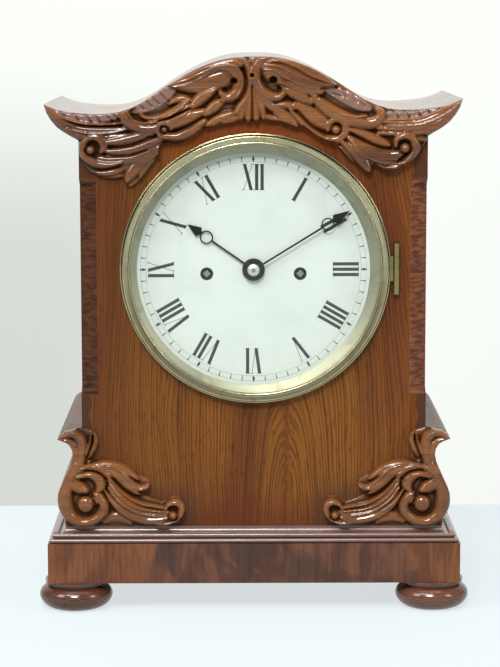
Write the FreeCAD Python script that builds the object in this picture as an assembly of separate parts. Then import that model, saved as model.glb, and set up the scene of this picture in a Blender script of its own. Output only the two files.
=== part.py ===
import FreeCAD, Part
import math
import os

V = FreeCAD.Vector

# Bracket clock with a carved rosewood case and a two-train fusee movement.
# Sizes are in millimetres. X runs to the right as one looks at the dial, Y runs from the front
# of the clock to its back, and Z is up. The origin is on the surface that the clock stands on,
# under the middle of the case.

# Case sizes
case_width = 285.2
case_depth = 193.5
side_top_height = 392.0
crest_half_span = 170.5
crest_rise = 66.0
top_lean_share = 0.0118
front_board = 15.0
side_board = 12.0
back_board = 15.0
carving_relief = 12.0
carving_ground = 7.0

# Plinth and feet
plinth_width = 342.0
plinth_projection = 17.0
plinth_height = 33.3
plinth_rail = 40.0
moulding_height = 12.1
moulding_setback = 14.2
floor_board_margin = 26.0
foot_height = 24.0
foot_radius = 30.5
foot_overhang = 8.7

# Canted front corners
cant_width = 12.6
cant_depth = 9.0
cant_bottom_height = 186.0
cant_top_height = 353.0
cant_stop = 7.0

# Consoles and carved corner scrolls
console_height = 76.0
console_width = 20.6
scroll_length = 85.6
volute_radius = 22.5
volute_ball_radius = 8.0
volute_drop_share = 0.30
end_volute_radius = 8.5

# Dial, bezel and hands
dial_height = 283.2
dial_radius = 101.6
dial_thickness = 1.6
dial_setback = 8.0
panel_opening_radius = 106.5
winding_hole_radius = 5.35
winding_offset = 38.6
winding_drop = 3.6
bezel_shift_x = 1.5
bezel_shift_z = 1.5
bezel_radius = 111.5
bezel_sight_radius = 102.9
bezel_depth = 9.0
sight_ring_radius = 96.3
sight_ring_wall = 1.2
glass_thickness = 2.0
glass_rise = 2.4
hinge_height = 42.0
hinge_middle_height = 20.6
hinge_knuckle_radius = 2.7
hinge_pin_radius = 1.1
hinge_leaf = 1.4
hinge_reach = 117.2
minute_hand_length = 93.4
minute_ring_radius = 5.3
minute_ring_place = 71.9
hour_hand_length = 66.0
hour_ring_radius = 5.5
hour_ring_place = 47.2
hand_ring_wire = 1.0
hand_thickness = 0.9
hand_shaft = 1.5
hand_blade = 8.6
hand_boss_radius = 9.3
collet_radius = 5.2
minute_hand_angle = 58.4
hour_hand_angle = (10 + minute_hand_angle / 360) * 30

# Movement plates, seen from the front
plate_half_width = 78.0
plate_above = 82.0
plate_below = 90.0
plate_thickness = 2.6
pillar_length = 52.0
pillar_radius = 4.0
motion_space = 15.0
pillar_inset = 8.0

# Wheels: tooth counts, and the modules that aren't set by a distance
great_teeth = 96
strike_great_teeth = 84
leaves = 8
centre_teeth = 96
third_teeth = 88
escape_teeth = 30
pin_teeth = 80
locking_teeth = 72
cannon_teeth = 36
hour_teeth = 96
centre_module = 0.5
third_module = 0.42
strike_great_module = 0.7
pin_module = 0.45
locking_module = 0.4
motion_module = 0.66
stud_radius = 0.65
wheel_thickness = 1.6
great_thickness = 2.4
arbor_radius = 1.5
pivot_radius = 0.9
winding_arbor_radius = 3.2
winding_square = 4.5
end_shake = 0.3
escape_radius = 16.5
escape_tooth = 2.4
pallet_distance = 24.0
pallet_clearance = 1.15

# Barrels and fusees
barrel_radius = 24.0
barrel_offset_x = 44.0
barrel_drop = 62.0
fusee_large_radius = 25.0
fusee_small_radius = 12.5
fusee_turns = 12
line_radius = 0.8

# Pendulum, bell and hammer
pendulum_length = 205.1
bob_radius = 27.0
bob_thickness = 11.0
rod_radius = 1.5
bell_radius = 42.0
bell_height = 30.0
bell_wall = 1.8
bell_lift = 10.0
hammer_head_length = 14.0
hammer_head_radius = 5.0
hammer_gap = 1.5

# Clearances
running_fit = 0.06
seat_gap = 0.3
moving_gap = 0.5
overrun = 1.0

# Places worked out from the sizes above
case_half = case_width / 2
front = -case_depth / 2
back = case_depth / 2
plinth_half = plinth_width / 2
plinth_front = front - plinth_projection
plinth_back = back + plinth_projection
plinth_top = foot_height + plinth_height
case_bottom = plinth_top + moulding_height
dial_face = front + dial_setback
dial_back = dial_face + dial_thickness
plate_front = dial_back + motion_space
train_front = plate_front + plate_thickness
train_back = train_front + pillar_length
plate_back = train_back + plate_thickness
winding_distance = math.hypot(winding_offset, winding_drop)
great_module = 2 * winding_distance / (great_teeth + leaves)


def block(x0, x1, y0, y1, z0, z1):
    """A box between two corners."""
    return Part.makeBox(x1 - x0, y1 - y0, z1 - z0, V(x0, y0, z0))


def rod_y(x, z, radius, y0, y1):
    """A round bar along Y."""
    return Part.makeCylinder(radius, y1 - y0, V(x, y0, z), V(0, 1, 0))


def rod_z(x, y, radius, z0, z1):
    """A round bar along Z."""
    return Part.makeCylinder(radius, z1 - z0, V(x, y, z0), V(0, 0, 1))


def tube_y(x, z, outer, inner, y0, y1):
    """A round tube along Y."""
    return rod_y(x, z, outer, y0, y1).cut(rod_y(x, z, inner, y0 - overrun, y1 + overrun))


def turned(points, place, axis):
    """A solid turned from (radius, height) points about an axis through a place."""
    side = V(1, 0, 0)
    outline = [place + side * r + axis * h for r, h in points]
    face = Part.Face(Part.makePolygon(outline + outline[:1]))
    return face.revolve(place, axis, 360)


def face_between(edges):
    """The flat face that a closed run of edges bounds."""
    return Part.Face(Part.Wire(Part.__sortEdges__(edges)))


def curve(points):
    """A smooth edge through points."""
    spline = Part.BSplineCurve()
    spline.interpolate(points)
    return spline.toShape()


def straight(a, b):
    return Part.makeLine(a, b)


def polygon_prism(points, y0, y1):
    """A prism along Y from (x, z) corners."""
    corners = [V(x, y0, z) for x, z in points]
    return Part.Face(Part.makePolygon(corners + corners[:1])).extrude(V(0, y1 - y0, 0))


def fused(solids):
    """One solid from several that touch or overlap."""
    whole = solids[0].multiFuse(solids[1:]) if len(solids) > 1 else solids[0]
    merged = whole.copy().removeSplitter()
    return merged if merged.isValid() else whole


# The top of the case: points as shares of the crest's half span and of its rise above the sides.
crest_line_shares = [
    (0.938, 0.382), (0.880, 0.347), (0.821, 0.332), (0.762, 0.321), (0.704, 0.323),
    (0.645, 0.342), (0.587, 0.388), (0.528, 0.461), (0.469, 0.558), (0.411, 0.658),
    (0.352, 0.750), (0.293, 0.832), (0.235, 0.898), (0.176, 0.950), (0.117, 0.983),
    (0.059, 0.998),
]
ear_tip_share = (1.0, 0.452)
ear_under_shares = [(0.988, 0.348), (0.968, 0.258), (0.938, 0.167), (0.909, 0.109), (0.880, 0.064)]
roof_under_shares = [
    (0.70, 0.030), (0.60, 0.120), (0.50, 0.290), (0.40, 0.490), (0.30, 0.640), (0.20, 0.750),
    (0.10, 0.805),
]
roof_under_middle_share = 0.815


def crest_point(share, side, y):
    """A point of the top's outline, with the whole top a little out of level."""
    x = side * share[0] * crest_half_span
    return V(x, y, side_top_height + share[1] * crest_rise + x * top_lean_share)


def level_point(x, y):
    """A point of the seat where the roof rests on the case sides."""
    return V(x, y, side_top_height + x * top_lean_share)


def crest_curve(y):
    """The camel-backed line from ear to ear."""
    left = [crest_point(s, -1, y) for s in [ear_tip_share] + crest_line_shares]
    right = [crest_point(s, 1, y) for s in [ear_tip_share] + crest_line_shares]
    return curve(left + [crest_point((0, 1), 1, y)] + right[::-1])


def ear_under_curve(side, y):
    """The hollow underside of one ear, from its tip to the case side."""
    return curve(
        [crest_point(s, side, y) for s in [ear_tip_share] + ear_under_shares]
        + [level_point(side * case_half, y)]
    )


def roof_under_curve(y):
    """The underside of the roof between the case sides."""
    inner = case_half - side_board
    left = [crest_point(s, -1, y) for s in roof_under_shares]
    right = [crest_point(s, 1, y) for s in roof_under_shares]
    middle = [crest_point((0, roof_under_middle_share), 1, y)]
    ends = [level_point(-inner, y), level_point(inner, y)]
    return curve(ends[:1] + left + middle + right[::-1] + ends[1:])


def roof():
    """The shaped roof with upturned ears, one board glued up from front to back."""
    inner = case_half - side_board
    edges = [crest_curve(front), roof_under_curve(front)]
    for side in (-1, 1):
        edges.append(ear_under_curve(side, front))
        edges.append(straight(level_point(side * case_half, front), level_point(side * inner, front)))
    return face_between(edges).extrude(V(0, case_depth, 0))


def board_under_roof(half, y0, y1, bottom):
    """A board across the case whose top edge fits the roof's underside."""
    inner = case_half - side_board
    edges = [roof_under_curve(y0)]
    for side in (-1, 1):
        if half > inner:
            edges.append(straight(level_point(side * half, y0), level_point(side * inner, y0)))
        edges.append(straight(level_point(side * half, y0), V(side * half, y0, bottom)))
    edges.append(straight(V(-half, y0, bottom), V(half, y0, bottom)))
    return face_between(edges).extrude(V(0, y1 - y0, 0))


def canted_corner(side):
    """The wood that is cut away at one front corner, running out to a point at each end."""
    x0 = side * (case_half + overrun)
    x1 = side * (case_half - cant_width)
    slope = cant_depth / cant_width
    y0 = front - overrun
    y1 = front + cant_depth + overrun * slope
    low, high = cant_bottom_height, cant_top_height

    def triangle(z):
        corners = [V(x0, y0, z), V(x1 - side * overrun / slope, y0, z), V(x0, y1, z)]
        return Part.makePolygon(corners + corners[:1])

    middle = Part.Face(triangle(low)).extrude(V(0, 0, high - low))
    tips = [(low, low - cant_stop), (high, high + cant_stop)]
    ends = [
        Part.makeLoft([triangle(a), Part.Vertex(V(x0, y0, b))], True) for a, b in tips
    ]
    return fused([middle] + ends)


def front_panel():
    """The veneered front with its round dial opening and canted corners."""
    panel = board_under_roof(case_half, front, front + front_board, case_bottom)
    opening = rod_y(0, dial_height, panel_opening_radius, front - overrun, front + front_board + overrun)
    for cut in [opening, canted_corner(-1), canted_corner(1), bezel_leaf_mortise()]:
        panel = panel.cut(cut)
    return panel


def case_side(side):
    """One side board of the case, behind the front panel."""
    outer, inner = side * case_half, side * (case_half - side_board)
    corners = [
        (outer, case_bottom),
        (inner, case_bottom),
        (inner, level_point(inner, 0).z),
        (outer, level_point(outer, 0).z),
    ]
    return polygon_prism(corners, front + front_board, back)


# Back frame and glazed back door
door_half_width = 100.0
door_bottom = 98.0
door_top = 366.0
door_rail = 26.0
door_thickness = 13.0
door_gap = 0.6
door_rebate = 6.0
door_glass = 2.0
door_hinge_height = 38.0
door_hinge_inset = 34.0
door_knuckle_radius = 3.0
turn_length = 30.0
turn_width = 11.0
turn_thickness = 3.0
turn_pivot_radius = 2.2


def back_frame():
    """The fixed frame at the back, between the case sides."""
    inner = case_half - side_board
    board = board_under_roof(inner, back - back_board, back, case_bottom)
    opening = block(
        -door_half_width, door_half_width, back - back_board - overrun, back + overrun,
        door_bottom, door_top,
    )
    frame = board.cut(opening)
    for z in door_hinge_places():
        frame = frame.cut(door_leaf(z, 1, door_gap / 2))
    return frame


def door_hinge_places():
    """The middle heights of the two back door hinges."""
    reach = door_hinge_inset + door_hinge_height / 2
    return [door_bottom + reach, door_top - reach]


def door_leaf(z, side, slack):
    """One hinge leaf let into an edge: side 1 is the frame's, side -1 the door's."""
    leaf = hinge_leaf / 2 + slack
    half = door_hinge_height / 2 + slack
    x = door_half_width - door_gap / 2
    start = x + door_gap / 4 if side > 0 else x - door_gap / 4 - 2 * leaf
    depth = door_thickness - door_rebate
    return block(start, start + 2 * leaf, back - depth, back + door_knuckle_radius, z - half, z + half)


def door_knuckles(z, middle):
    """The knuckles of one back door hinge: the middle one, or the two outer ones."""
    third = door_hinge_height / 3
    x, y = door_hinge_axis()
    gap = running_fit / 2
    low = z - door_hinge_height / 2
    spans = [(low + third + gap, low + 2 * third - gap)] if middle else [
        (low, low + third - gap), (low + 2 * third + gap, low + 3 * third),
    ]
    return [rod_z(x, y, door_knuckle_radius, a, b) for a, b in spans]


def door_hinge_axis():
    """The plan position of the back door's hinge line."""
    return door_half_width - door_gap / 2, back + door_knuckle_radius


def back_door_frame():
    """The rebated door frame that holds the back glass."""
    half = door_half_width - door_gap
    low, high = door_bottom + door_gap, door_top - door_gap
    y0, y1 = back - door_thickness, back
    frame = block(-half, half, y0, y1, low, high)
    sight = half - door_rail
    frame = frame.cut(block(
        -sight, sight, y0 - overrun, y1 + overrun, low + door_rail, high - door_rail,
    ))
    wide = sight + door_rebate
    frame = frame.cut(block(
        -wide, wide, y0 - overrun, y0 + door_rebate,
        low + door_rail - door_rebate, high - door_rail + door_rebate,
    ))
    for z in door_hinge_places():
        frame = frame.cut(door_leaf(z, -1, 0))
    x, z = turn_place()
    return frame.cut(rod_y(x, z, turn_pivot_radius + running_fit, y0 - overrun, y1 + overrun))


def back_door_glass():
    """The pane in the door's rebate."""
    half = door_half_width - door_gap - door_rail + door_rebate - seat_gap
    low = door_bottom + door_gap + door_rail - door_rebate + seat_gap
    high = door_top - door_gap - door_rail + door_rebate - seat_gap
    y1 = back - door_thickness + door_rebate
    return block(-half, half, y1 - door_glass, y1, low, high)


def hinge_with_leaf(z, side):
    """The frame's or the door's half of one back door hinge."""
    x, y = door_hinge_axis()
    solids = door_knuckles(z, side < 0)
    leaf = door_leaf(z, side, 0)
    low, high = z - door_hinge_height / 2, z + door_hinge_height / 2
    third = door_hinge_height / 3
    gap = running_fit / 2
    spans = [(low, low + third + gap), (low + 2 * third - gap, high)] if side < 0 else [
        (low + third - gap, low + 2 * third + gap),
    ]
    for a, b in spans:
        reach = door_knuckle_radius + running_fit + hinge_leaf
        leaf = leaf.cut(block(
            x - reach, x + reach, back - running_fit, y + reach, a - running_fit, b + running_fit,
        ))
    half = fused(solids + [leaf]) if len(solids) > 1 else fused([leaf] + solids)
    bore = door_knuckle_radius / 2 + running_fit
    if side < 0:
        return half.cut(rod_z(x, y, bore, low - overrun, high + overrun))
    return half.fuse(rod_z(x, y, door_knuckle_radius / 2, low, high)).removeSplitter()


def door_hinge_halves(side):
    """Both hinges' halves of one side, each with its own knuckles."""
    return Part.makeCompound([hinge_with_leaf(z, side) for z in door_hinge_places()])


def turn_place():
    """Where the turn button's pivot goes through the door's free stile."""
    return -(door_half_width - door_gap - door_rail / 2), (door_bottom + door_top) / 2


# The turn button's knob: radius and height as shares of the button's width.
turn_knob_shares = [
    (0, 0), (0.55, 0), (0.4, 0.25), (0.55, 0.5), (0.55, 0.85), (0.35, 1), (0, 1),
]


def back_door_turn():
    """The turn button: a knob outside, a shaft, and a tongue that is upright when the door is
    free and lies behind the frame when it is turned."""
    x, z = turn_place()
    y0 = back - back_board - end_shake
    shaft = rod_y(x, z, turn_pivot_radius, y0 - turn_thickness / 2, back + end_shake)
    outline = [(r * turn_width, h * turn_width) for r, h in turn_knob_shares]
    knob = turned(outline, V(x, back + end_shake, z), V(0, 1, 0))
    reach = turn_length - turn_width / 2
    tongue = block(
        x - turn_width / 2, x + turn_width / 2, y0 - turn_thickness, y0,
        z - turn_width / 2, z + reach,
    )
    return fused([shaft, knob, tongue])


# Plinth, moulding and feet
def plinth():
    """The veneered plinth: four rails with an open middle."""
    outer = block(-plinth_half, plinth_half, plinth_front, plinth_back, foot_height, plinth_top)
    inner = block(
        -plinth_half + plinth_rail, plinth_half - plinth_rail,
        plinth_front + plinth_rail, plinth_back - plinth_rail,
        foot_height - overrun, plinth_top + overrun,
    )
    return outer.cut(inner)


# The moulding's section: inward from the plinth's face as a share of its set-back, then up as
# a share of its height. A None marks the middle point of an arc.
moulding_shares = [
    ((0.20, 0.00), None),
    ((0.20, 0.32), (0.07, 0.16)),
    ((0.34, 0.32), None),
    ((0.34, 0.66), (0.22, 0.49)),
    ((0.48, 0.66), None),
    ((0.84, 0.90), (0.80, 0.72)),
    ((0.84, 1.00), None),
]


def moulding_section(edge, inward):
    """Edges of the moulding's section from the plinth's edge upwards and inwards."""
    def place(share):
        offset = inward * (share[0] * moulding_setback / moulding_shares[-1][0][0])
        return edge + offset + V(0, 0, share[1] * moulding_height)

    edges, last = [], place(moulding_shares[0][0])
    for share, bulge in moulding_shares[1:]:
        point = place(share)
        if bulge:
            edges.append(Part.Arc(last, place(bulge), point).toShape())
        else:
            edges.append(straight(last, point))
        last = point
    return edges


def moulded_slab(start, width, along, depth):
    """A slab with the moulding along its two long edges, extruded along one direction."""
    across = V(along.y, along.x, 0)
    left, right = start, start + across * width
    edges_left = moulding_section(left, across)
    edges_right = moulding_section(right, across * -1)
    ends = [e.Vertexes for e in (edges_left[0], edges_right[0], edges_left[-1], edges_right[-1])]
    base = straight(ends[0][0].Point, ends[1][0].Point)
    top = straight(ends[2][-1].Point, ends[3][-1].Point)
    return face_between(edges_left + edges_right + [base, top]).extrude(along * depth)


def plinth_moulding():
    """The mitred moulding on top of the plinth."""
    depth = plinth_back - plinth_front
    low = V(-plinth_half, plinth_front, plinth_top)
    lengthways = moulded_slab(low, depth, V(1, 0, 0), plinth_width)
    crossways = moulded_slab(low, plinth_width, V(0, 1, 0), depth)
    ring = lengthways.common(crossways)
    hole_x, hole_y = floor_half_sizes()
    return ring.cut(block(
        -hole_x, hole_x, -hole_y, hole_y, plinth_top - overrun, case_bottom + overrun,
    ))


def floor_half_sizes():
    """Half the length and half the depth of the floor board's seat."""
    return plinth_half - floor_board_margin, (plinth_back - plinth_front) / 2 - floor_board_margin


def case_floor():
    """The board that closes the bottom of the case."""
    hole_x, hole_y = floor_half_sizes()
    return block(
        -hole_x + seat_gap, hole_x - seat_gap, -hole_y + seat_gap, hole_y - seat_gap,
        plinth_top, case_bottom,
    )


# A bun foot's profile: radius as a share of its radius, height as a share of its height.
foot_bulge_shares = [(0.62, 0.0), (0.84, 0.10), (0.97, 0.30), (1.0, 0.46), (0.95, 0.64), (0.80, 0.78)]
foot_neck_shares = [(0.74, 0.80), (0.74, 0.88), (0.84, 0.90), (0.84, 1.0)]


def foot(x, y):
    """One turned bun foot with a short neck."""
    def place(share):
        return V(x + share[0] * foot_radius, y, share[1] * foot_height)

    edges = [curve([place(s) for s in foot_bulge_shares])]
    corners = [place(foot_bulge_shares[-1])] + [place(s) for s in foot_neck_shares]
    corners += [V(x, y, foot_height), V(x, y, 0), place(foot_bulge_shares[0])]
    edges += [straight(a, b) for a, b in zip(corners[:-1], corners[1:])]
    return face_between(edges).revolve(V(x, y, 0), V(0, 0, 1), 360)


def foot_places():
    """Names and centres of the four feet."""
    inset = foot_radius - foot_overhang
    x, y = plinth_half - inset, (plinth_back - plinth_front) / 2 - inset
    return {
        "foot_front_left": (-x, -y), "foot_front_right": (x, -y),
        "foot_back_left": (-x, y), "foot_back_right": (x, y),
    }


# The console's outline: outward from the case side as a share of its width, up from the
# moulding as a share of its height.
console_outer_shares = [
    (0.699, 0.000), (0.723, 0.074), (0.845, 0.139), (0.966, 0.218), (1.000, 0.297),
    (0.971, 0.376), (0.883, 0.442), (0.728, 0.534), (0.578, 0.626), (0.432, 0.718),
    (0.364, 0.797), (0.388, 0.863), (0.515, 0.921), (0.723, 0.953), (0.981, 0.974),
]
console_top_shares = [
    (0.981, 0.974), (0.869, 1.025), (0.675, 1.061), (0.359, 1.079), (0.117, 1.095), (0.0, 1.105),
]
# The carved scroll's inner outline: inward as a share of its length.
scroll_leaf_shares = [
    (0.0, 1.105), (0.054, 1.082), (0.112, 1.066), (0.153, 1.034), (0.161, 0.955), (0.136, 0.863),
    (0.089, 0.784), (0.042, 0.747),
]
scroll_lobe_shares = [
    (0.042, 0.747), (0.110, 0.742), (0.206, 0.742), (0.322, 0.732), (0.404, 0.695), (0.474, 0.647),
    (0.533, 0.600), (0.591, 0.555), (0.638, 0.524), (0.661, 0.482), (0.638, 0.432), (0.579, 0.405),
    (0.521, 0.405),
]
scroll_tail_shares = [
    (0.521, 0.405), (0.579, 0.363), (0.673, 0.308), (0.766, 0.274), (0.819, 0.295), (0.871, 0.337),
    (0.942, 0.332), (0.988, 0.271), (1.000, 0.192), (0.971, 0.120), (0.918, 0.067), (0.825, 0.021),
    (0.731, 0.000),
]


def console_point(share, side, y):
    return V(
        side * (case_half + share[0] * console_width), y, case_bottom + share[1] * console_height
    )


def scroll_point(share, side, y):
    return V(
        side * (case_half - share[0] * scroll_length), y, case_bottom + share[1] * console_height
    )


def console(side):
    """The scrolled console that runs along one side of the case from front to back."""
    edges = [
        curve([console_point(s, side, front) for s in console_outer_shares]),
        curve([console_point(s, side, front) for s in console_top_shares]),
    ]
    corners = [
        console_point(console_top_shares[-1], side, front),
        console_point((0, 0), side, front),
        console_point(console_outer_shares[0], side, front),
    ]
    edges += [straight(a, b) for a, b in zip(corners[:-1], corners[1:])]
    return face_between(edges).extrude(V(0, case_depth, 0))


def scroll_ground(side, depth):
    """The flat ground of the carved corner scroll."""
    edges = [
        curve([console_point(s, side, front) for s in console_outer_shares]),
        curve([console_point(s, side, front) for s in console_top_shares]),
        curve([scroll_point(s, side, front) for s in scroll_leaf_shares]),
        curve([scroll_point(s, side, front) for s in scroll_lobe_shares]),
        curve([scroll_point(s, side, front) for s in scroll_tail_shares]),
        straight(
            scroll_point(scroll_tail_shares[-1], side, front),
            console_point(console_outer_shares[0], side, front),
        ),
    ]
    return face_between(edges).extrude(V(0, -depth, 0))


def corner_scroll(side):
    """The carved scroll on one lower front corner: volute with a ball, lobes and an end curl."""
    ground = scroll_ground(side, carving_ground)
    proud = scroll_ground(side, carving_relief)
    x = side * (case_half + console_width - volute_radius)
    z = case_bottom + volute_drop_share * console_height
    volute = rod_y(x, z, volute_radius - overrun, front - carving_relief, front)
    groove = tube_y(
        x, z, volute_ball_radius + carving_ground / 2, volute_ball_radius,
        front - carving_relief - overrun, front - carving_ground,
    )
    end = scroll_point((1, volute_drop_share / 2), side, 0)
    curl_x = end.x + side * end_volute_radius
    curl = rod_y(curl_x, end.z + end_volute_radius / 2, end_volute_radius - overrun,
                 front - carving_relief, front)
    raised = proud.common(fused([volute, curl]) if volute.distToShape(curl)[0] == 0
                          else Part.makeCompound([volute, curl]))
    return fused([ground] + raised.Solids).cut(groove)


# The cresting's lower edge, left and right, as shares of the crest's half span and rise.
crest_left_volute_shares = [
    (0.830, -0.061), (0.830, -0.182), (0.812, -0.303), (0.780, -0.386), (0.745, -0.436),
    (0.704, -0.470), (0.657, -0.470), (0.625, -0.455),
]
crest_left_leaf_shares = [
    (0.625, -0.455), (0.613, -0.530), (0.589, -0.582), (0.563, -0.545), (0.540, -0.485),
    (0.516, -0.409), (0.493, -0.333), (0.469, -0.273), (0.443, -0.227),
]
crest_left_swag_shares = [
    (0.443, -0.227), (0.452, -0.136), (0.445, -0.060), (0.420, -0.038), (0.381, -0.061),
    (0.340, -0.045), (0.293, 0.030), (0.258, 0.091), (0.223, 0.139),
]
crest_middle_shares = [
    (-0.223, 0.139), (-0.164, 0.152), (-0.117, 0.182), (-0.059, 0.200), (0.000, 0.206),
    (0.059, 0.222), (0.117, 0.208), (0.176, 0.167), (0.211, 0.129),
]
crest_right_swag_shares = [
    (0.211, 0.129), (0.238, 0.150), (0.264, 0.106), (0.305, 0.023), (0.352, -0.038),
    (0.387, -0.053), (0.411, -0.121), (0.440, -0.212), (0.469, -0.288), (0.504, -0.364),
    (0.540, -0.427), (0.560, -0.439), (0.572, -0.394), (0.575, -0.333),
]
crest_right_volute_shares = [
    (0.575, -0.333), (0.616, -0.394), (0.657, -0.432), (0.686, -0.424), (0.695, -0.364),
    (0.727, -0.333), (0.768, -0.273), (0.804, -0.182), (0.821, -0.091), (0.833, -0.015),
]


def cresting_ground(depth):
    """The outline of the carved cresting, cut to a depth in front of the panel."""
    edges = [crest_curve(front)]
    for side in (-1, 1):
        edges.append(ear_under_curve(side, front))
    runs = [
        [crest_point(s, -1, front) for s in crest_left_volute_shares],
        [crest_point(s, -1, front) for s in crest_left_leaf_shares],
        [crest_point(s, -1, front) for s in crest_left_swag_shares],
        [crest_point(s, 1, front) for s in crest_middle_shares],
        [crest_point(s, 1, front) for s in crest_right_swag_shares],
        [crest_point(s, 1, front) for s in crest_right_volute_shares],
    ]
    edges += [curve(run) for run in runs]
    edges.append(straight(level_point(-case_half, front), runs[0][0]))
    edges.append(straight(level_point(case_half, front), runs[-1][-1]))
    return face_between(edges).extrude(V(0, -depth, 0))


# Volutes of the cresting: centre as shares of half span and rise, radius as a share of the rise.
crest_volute_shares = [
    (-0.760, -0.170, 0.145), (-0.405, 0.030, 0.130), (-0.115, 0.560, 0.200), (0.115, 0.640, 0.200),
    (0.400, 0.110, 0.140), (0.735, -0.120, 0.150),
]


def cresting():
    """The carved cresting across the front of the roof, with its six volutes raised."""
    ground = cresting_ground(carving_ground)
    proud = cresting_ground(carving_relief)
    solids = [ground]
    for x, z, radius in crest_volute_shares:
        centre = crest_point((x, z), 1, front)
        disc = rod_y(centre.x, centre.z, radius * crest_rise, front - carving_relief, front)
        solids += proud.common(disc).Solids
    return fused(solids)


# Bezel, glass and sight ring
bezel_lip = 2.4
bezel_bead = 3.0
bezel_rebate = 2.2


def bezel_place():
    """The centre of the bezel, which sits a little off the dial's centre."""
    return bezel_shift_x, dial_height + bezel_shift_z


def bezel():
    """The turned brass bezel with its rolled front and the rebate for its glass."""
    x, z = bezel_place()
    seat = bezel_sight_radius + bezel_rebate
    sight, rim = bezel_sight_radius, bezel_radius
    depth = bezel_depth
    points = [
        (seat, 0), (rim, 0), (rim, -bezel_lip), (rim - bezel_bead / 2, -bezel_lip),
        (rim - bezel_bead / 2, -depth + bezel_bead), (rim - bezel_bead, -depth + bezel_bead / 3),
        (rim - 3 * bezel_bead / 2, -depth), (rim - 2 * bezel_bead, -depth + bezel_bead / 3),
        (sight, -depth + bezel_bead), (sight, -depth + 2 * bezel_bead),
        (seat, -depth + 2 * bezel_bead),
    ]
    return turned(points, V(x, front - seat_gap, z), V(0, 1, 0))


def bezel_glass():
    """The slightly domed glass in the bezel's rebate."""
    x, z = bezel_place()
    rim = bezel_sight_radius + bezel_rebate - seat_gap / 2
    seat = -bezel_depth + 2 * bezel_bead
    sphere_radius = (rim * rim + glass_rise * glass_rise) / (2 * glass_rise)
    centre = V(x, front + seat + sphere_radius - glass_rise, z)
    dome = Part.makeSphere(sphere_radius, centre)
    hollow = Part.makeSphere(sphere_radius - glass_thickness, centre)
    reach = seat + glass_thickness
    slab = rod_y(x, z, rim, front + seat - glass_rise, front + reach)
    return dome.cut(hollow).common(slab)


def sight_ring():
    """The silvered sloping ring between the bezel and the dial."""
    outer = panel_opening_radius - seat_gap
    inner = sight_ring_radius
    wall = sight_ring_wall
    tip = dial_setback - seat_gap
    points = [
        (outer, seat_gap), (outer, seat_gap + 2 * wall), (inner + wall, tip),
        (inner, tip), (inner, tip - wall / 2), (outer - wall, seat_gap),
    ]
    return turned(points, V(0, front, dial_height), V(0, 1, 0))


def bezel_hinge_axis():
    """The plan position of the bezel's hinge line."""
    return hinge_reach, front - hinge_knuckle_radius - seat_gap


def bezel_knuckles(middle):
    """The bezel's middle knuckle, or the case's two outer ones."""
    x, y = bezel_hinge_axis()
    centre = dial_height + bezel_shift_z
    inner = hinge_middle_height / 2
    outer = hinge_height / 2
    gap = running_fit / 2
    if middle:
        return [rod_z(x, y, hinge_knuckle_radius, centre - inner + gap, centre + inner - gap)]
    return [
        rod_z(x, y, hinge_knuckle_radius, centre - outer, centre - inner - gap),
        rod_z(x, y, hinge_knuckle_radius, centre + inner + gap, centre + outer),
    ]


def bezel_leaf_block(slack):
    """The case leaf of the bezel's hinge, let into the panel edge on."""
    x = bezel_hinge_axis()[0]
    centre = dial_height + bezel_shift_z
    half = hinge_height / 2 + slack
    leaf = hinge_leaf + slack
    start = x + hinge_knuckle_radius - hinge_leaf
    return block(
        start - slack, start + leaf, front - overrun * bool(slack), front + front_board / 2 + slack,
        centre - half, centre + half,
    )


def bezel_leaf_mortise():
    return bezel_leaf_block(seat_gap / 3)


def bezel_hinge_case_leaf():
    """The fixed half of the bezel's hinge."""
    x, y = bezel_hinge_axis()
    centre = dial_height + bezel_shift_z
    leaf = bezel_leaf_block(0)
    start = x + hinge_knuckle_radius - hinge_leaf
    webs = []
    inner, outer = hinge_middle_height / 2, hinge_height / 2
    gap = running_fit / 2
    for a, b in [(centre - outer, centre - inner - gap), (centre + inner + gap, centre + outer)]:
        webs.append(block(start, start + hinge_leaf, y, front + overrun, a, b))
    half = fused([leaf] + webs + bezel_knuckles(False))
    return half.cut(rod_z(x, y, hinge_pin_radius + running_fit, centre - outer - overrun,
                          centre + outer + overrun))


def bezel_hinge_ring_leaf():
    """The moving half of the bezel's hinge, soldered to the bezel's edge."""
    x, y = bezel_hinge_axis()
    bezel_x, centre = bezel_place()
    half = hinge_middle_height / 2 - running_fit / 2
    web = block(bezel_x, x, y, front - seat_gap, centre - half, centre + half)
    rim = rod_y(bezel_x, centre, bezel_radius, front - bezel_lip - overrun, front + overrun)
    web = web.cut(rod_y(bezel_x, centre, bezel_radius - bezel_bead / 2, y - overrun, front + overrun))
    web = web.cut(rim)
    knuckle = bezel_knuckles(True)[0]
    return fused([web, knuckle]).cut(
        rod_z(x, y, hinge_pin_radius + running_fit, centre - hinge_height, centre + hinge_height)
    )


def bezel_hinge_pin():
    x, y = bezel_hinge_axis()
    centre = dial_height + bezel_shift_z
    half = hinge_height / 2
    return rod_z(x, y, hinge_pin_radius, centre - half, centre + half)


# Dial and hands
dial_centre_hole = 6.0
dial_foot_radius = 2.0
dial_foot_offset = 56.0


def dial_plate():
    """The round painted dial with its centre hole and two winding holes."""
    plate = rod_y(0, dial_height, dial_radius, dial_face, dial_back)
    holes = [(0, dial_height, dial_centre_hole)]
    for side in (-1, 1):
        holes.append((side * winding_offset, dial_height - winding_drop, winding_hole_radius))
    for x, z, radius in holes:
        plate = plate.cut(rod_y(x, z, radius, dial_face - overrun, dial_back + overrun))
    return plate


def dial_foot_places():
    return [
        (sx * dial_foot_offset, dial_height + sz * dial_foot_offset)
        for sx in (-1, 1) for sz in (-1, 1)
    ]


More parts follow.
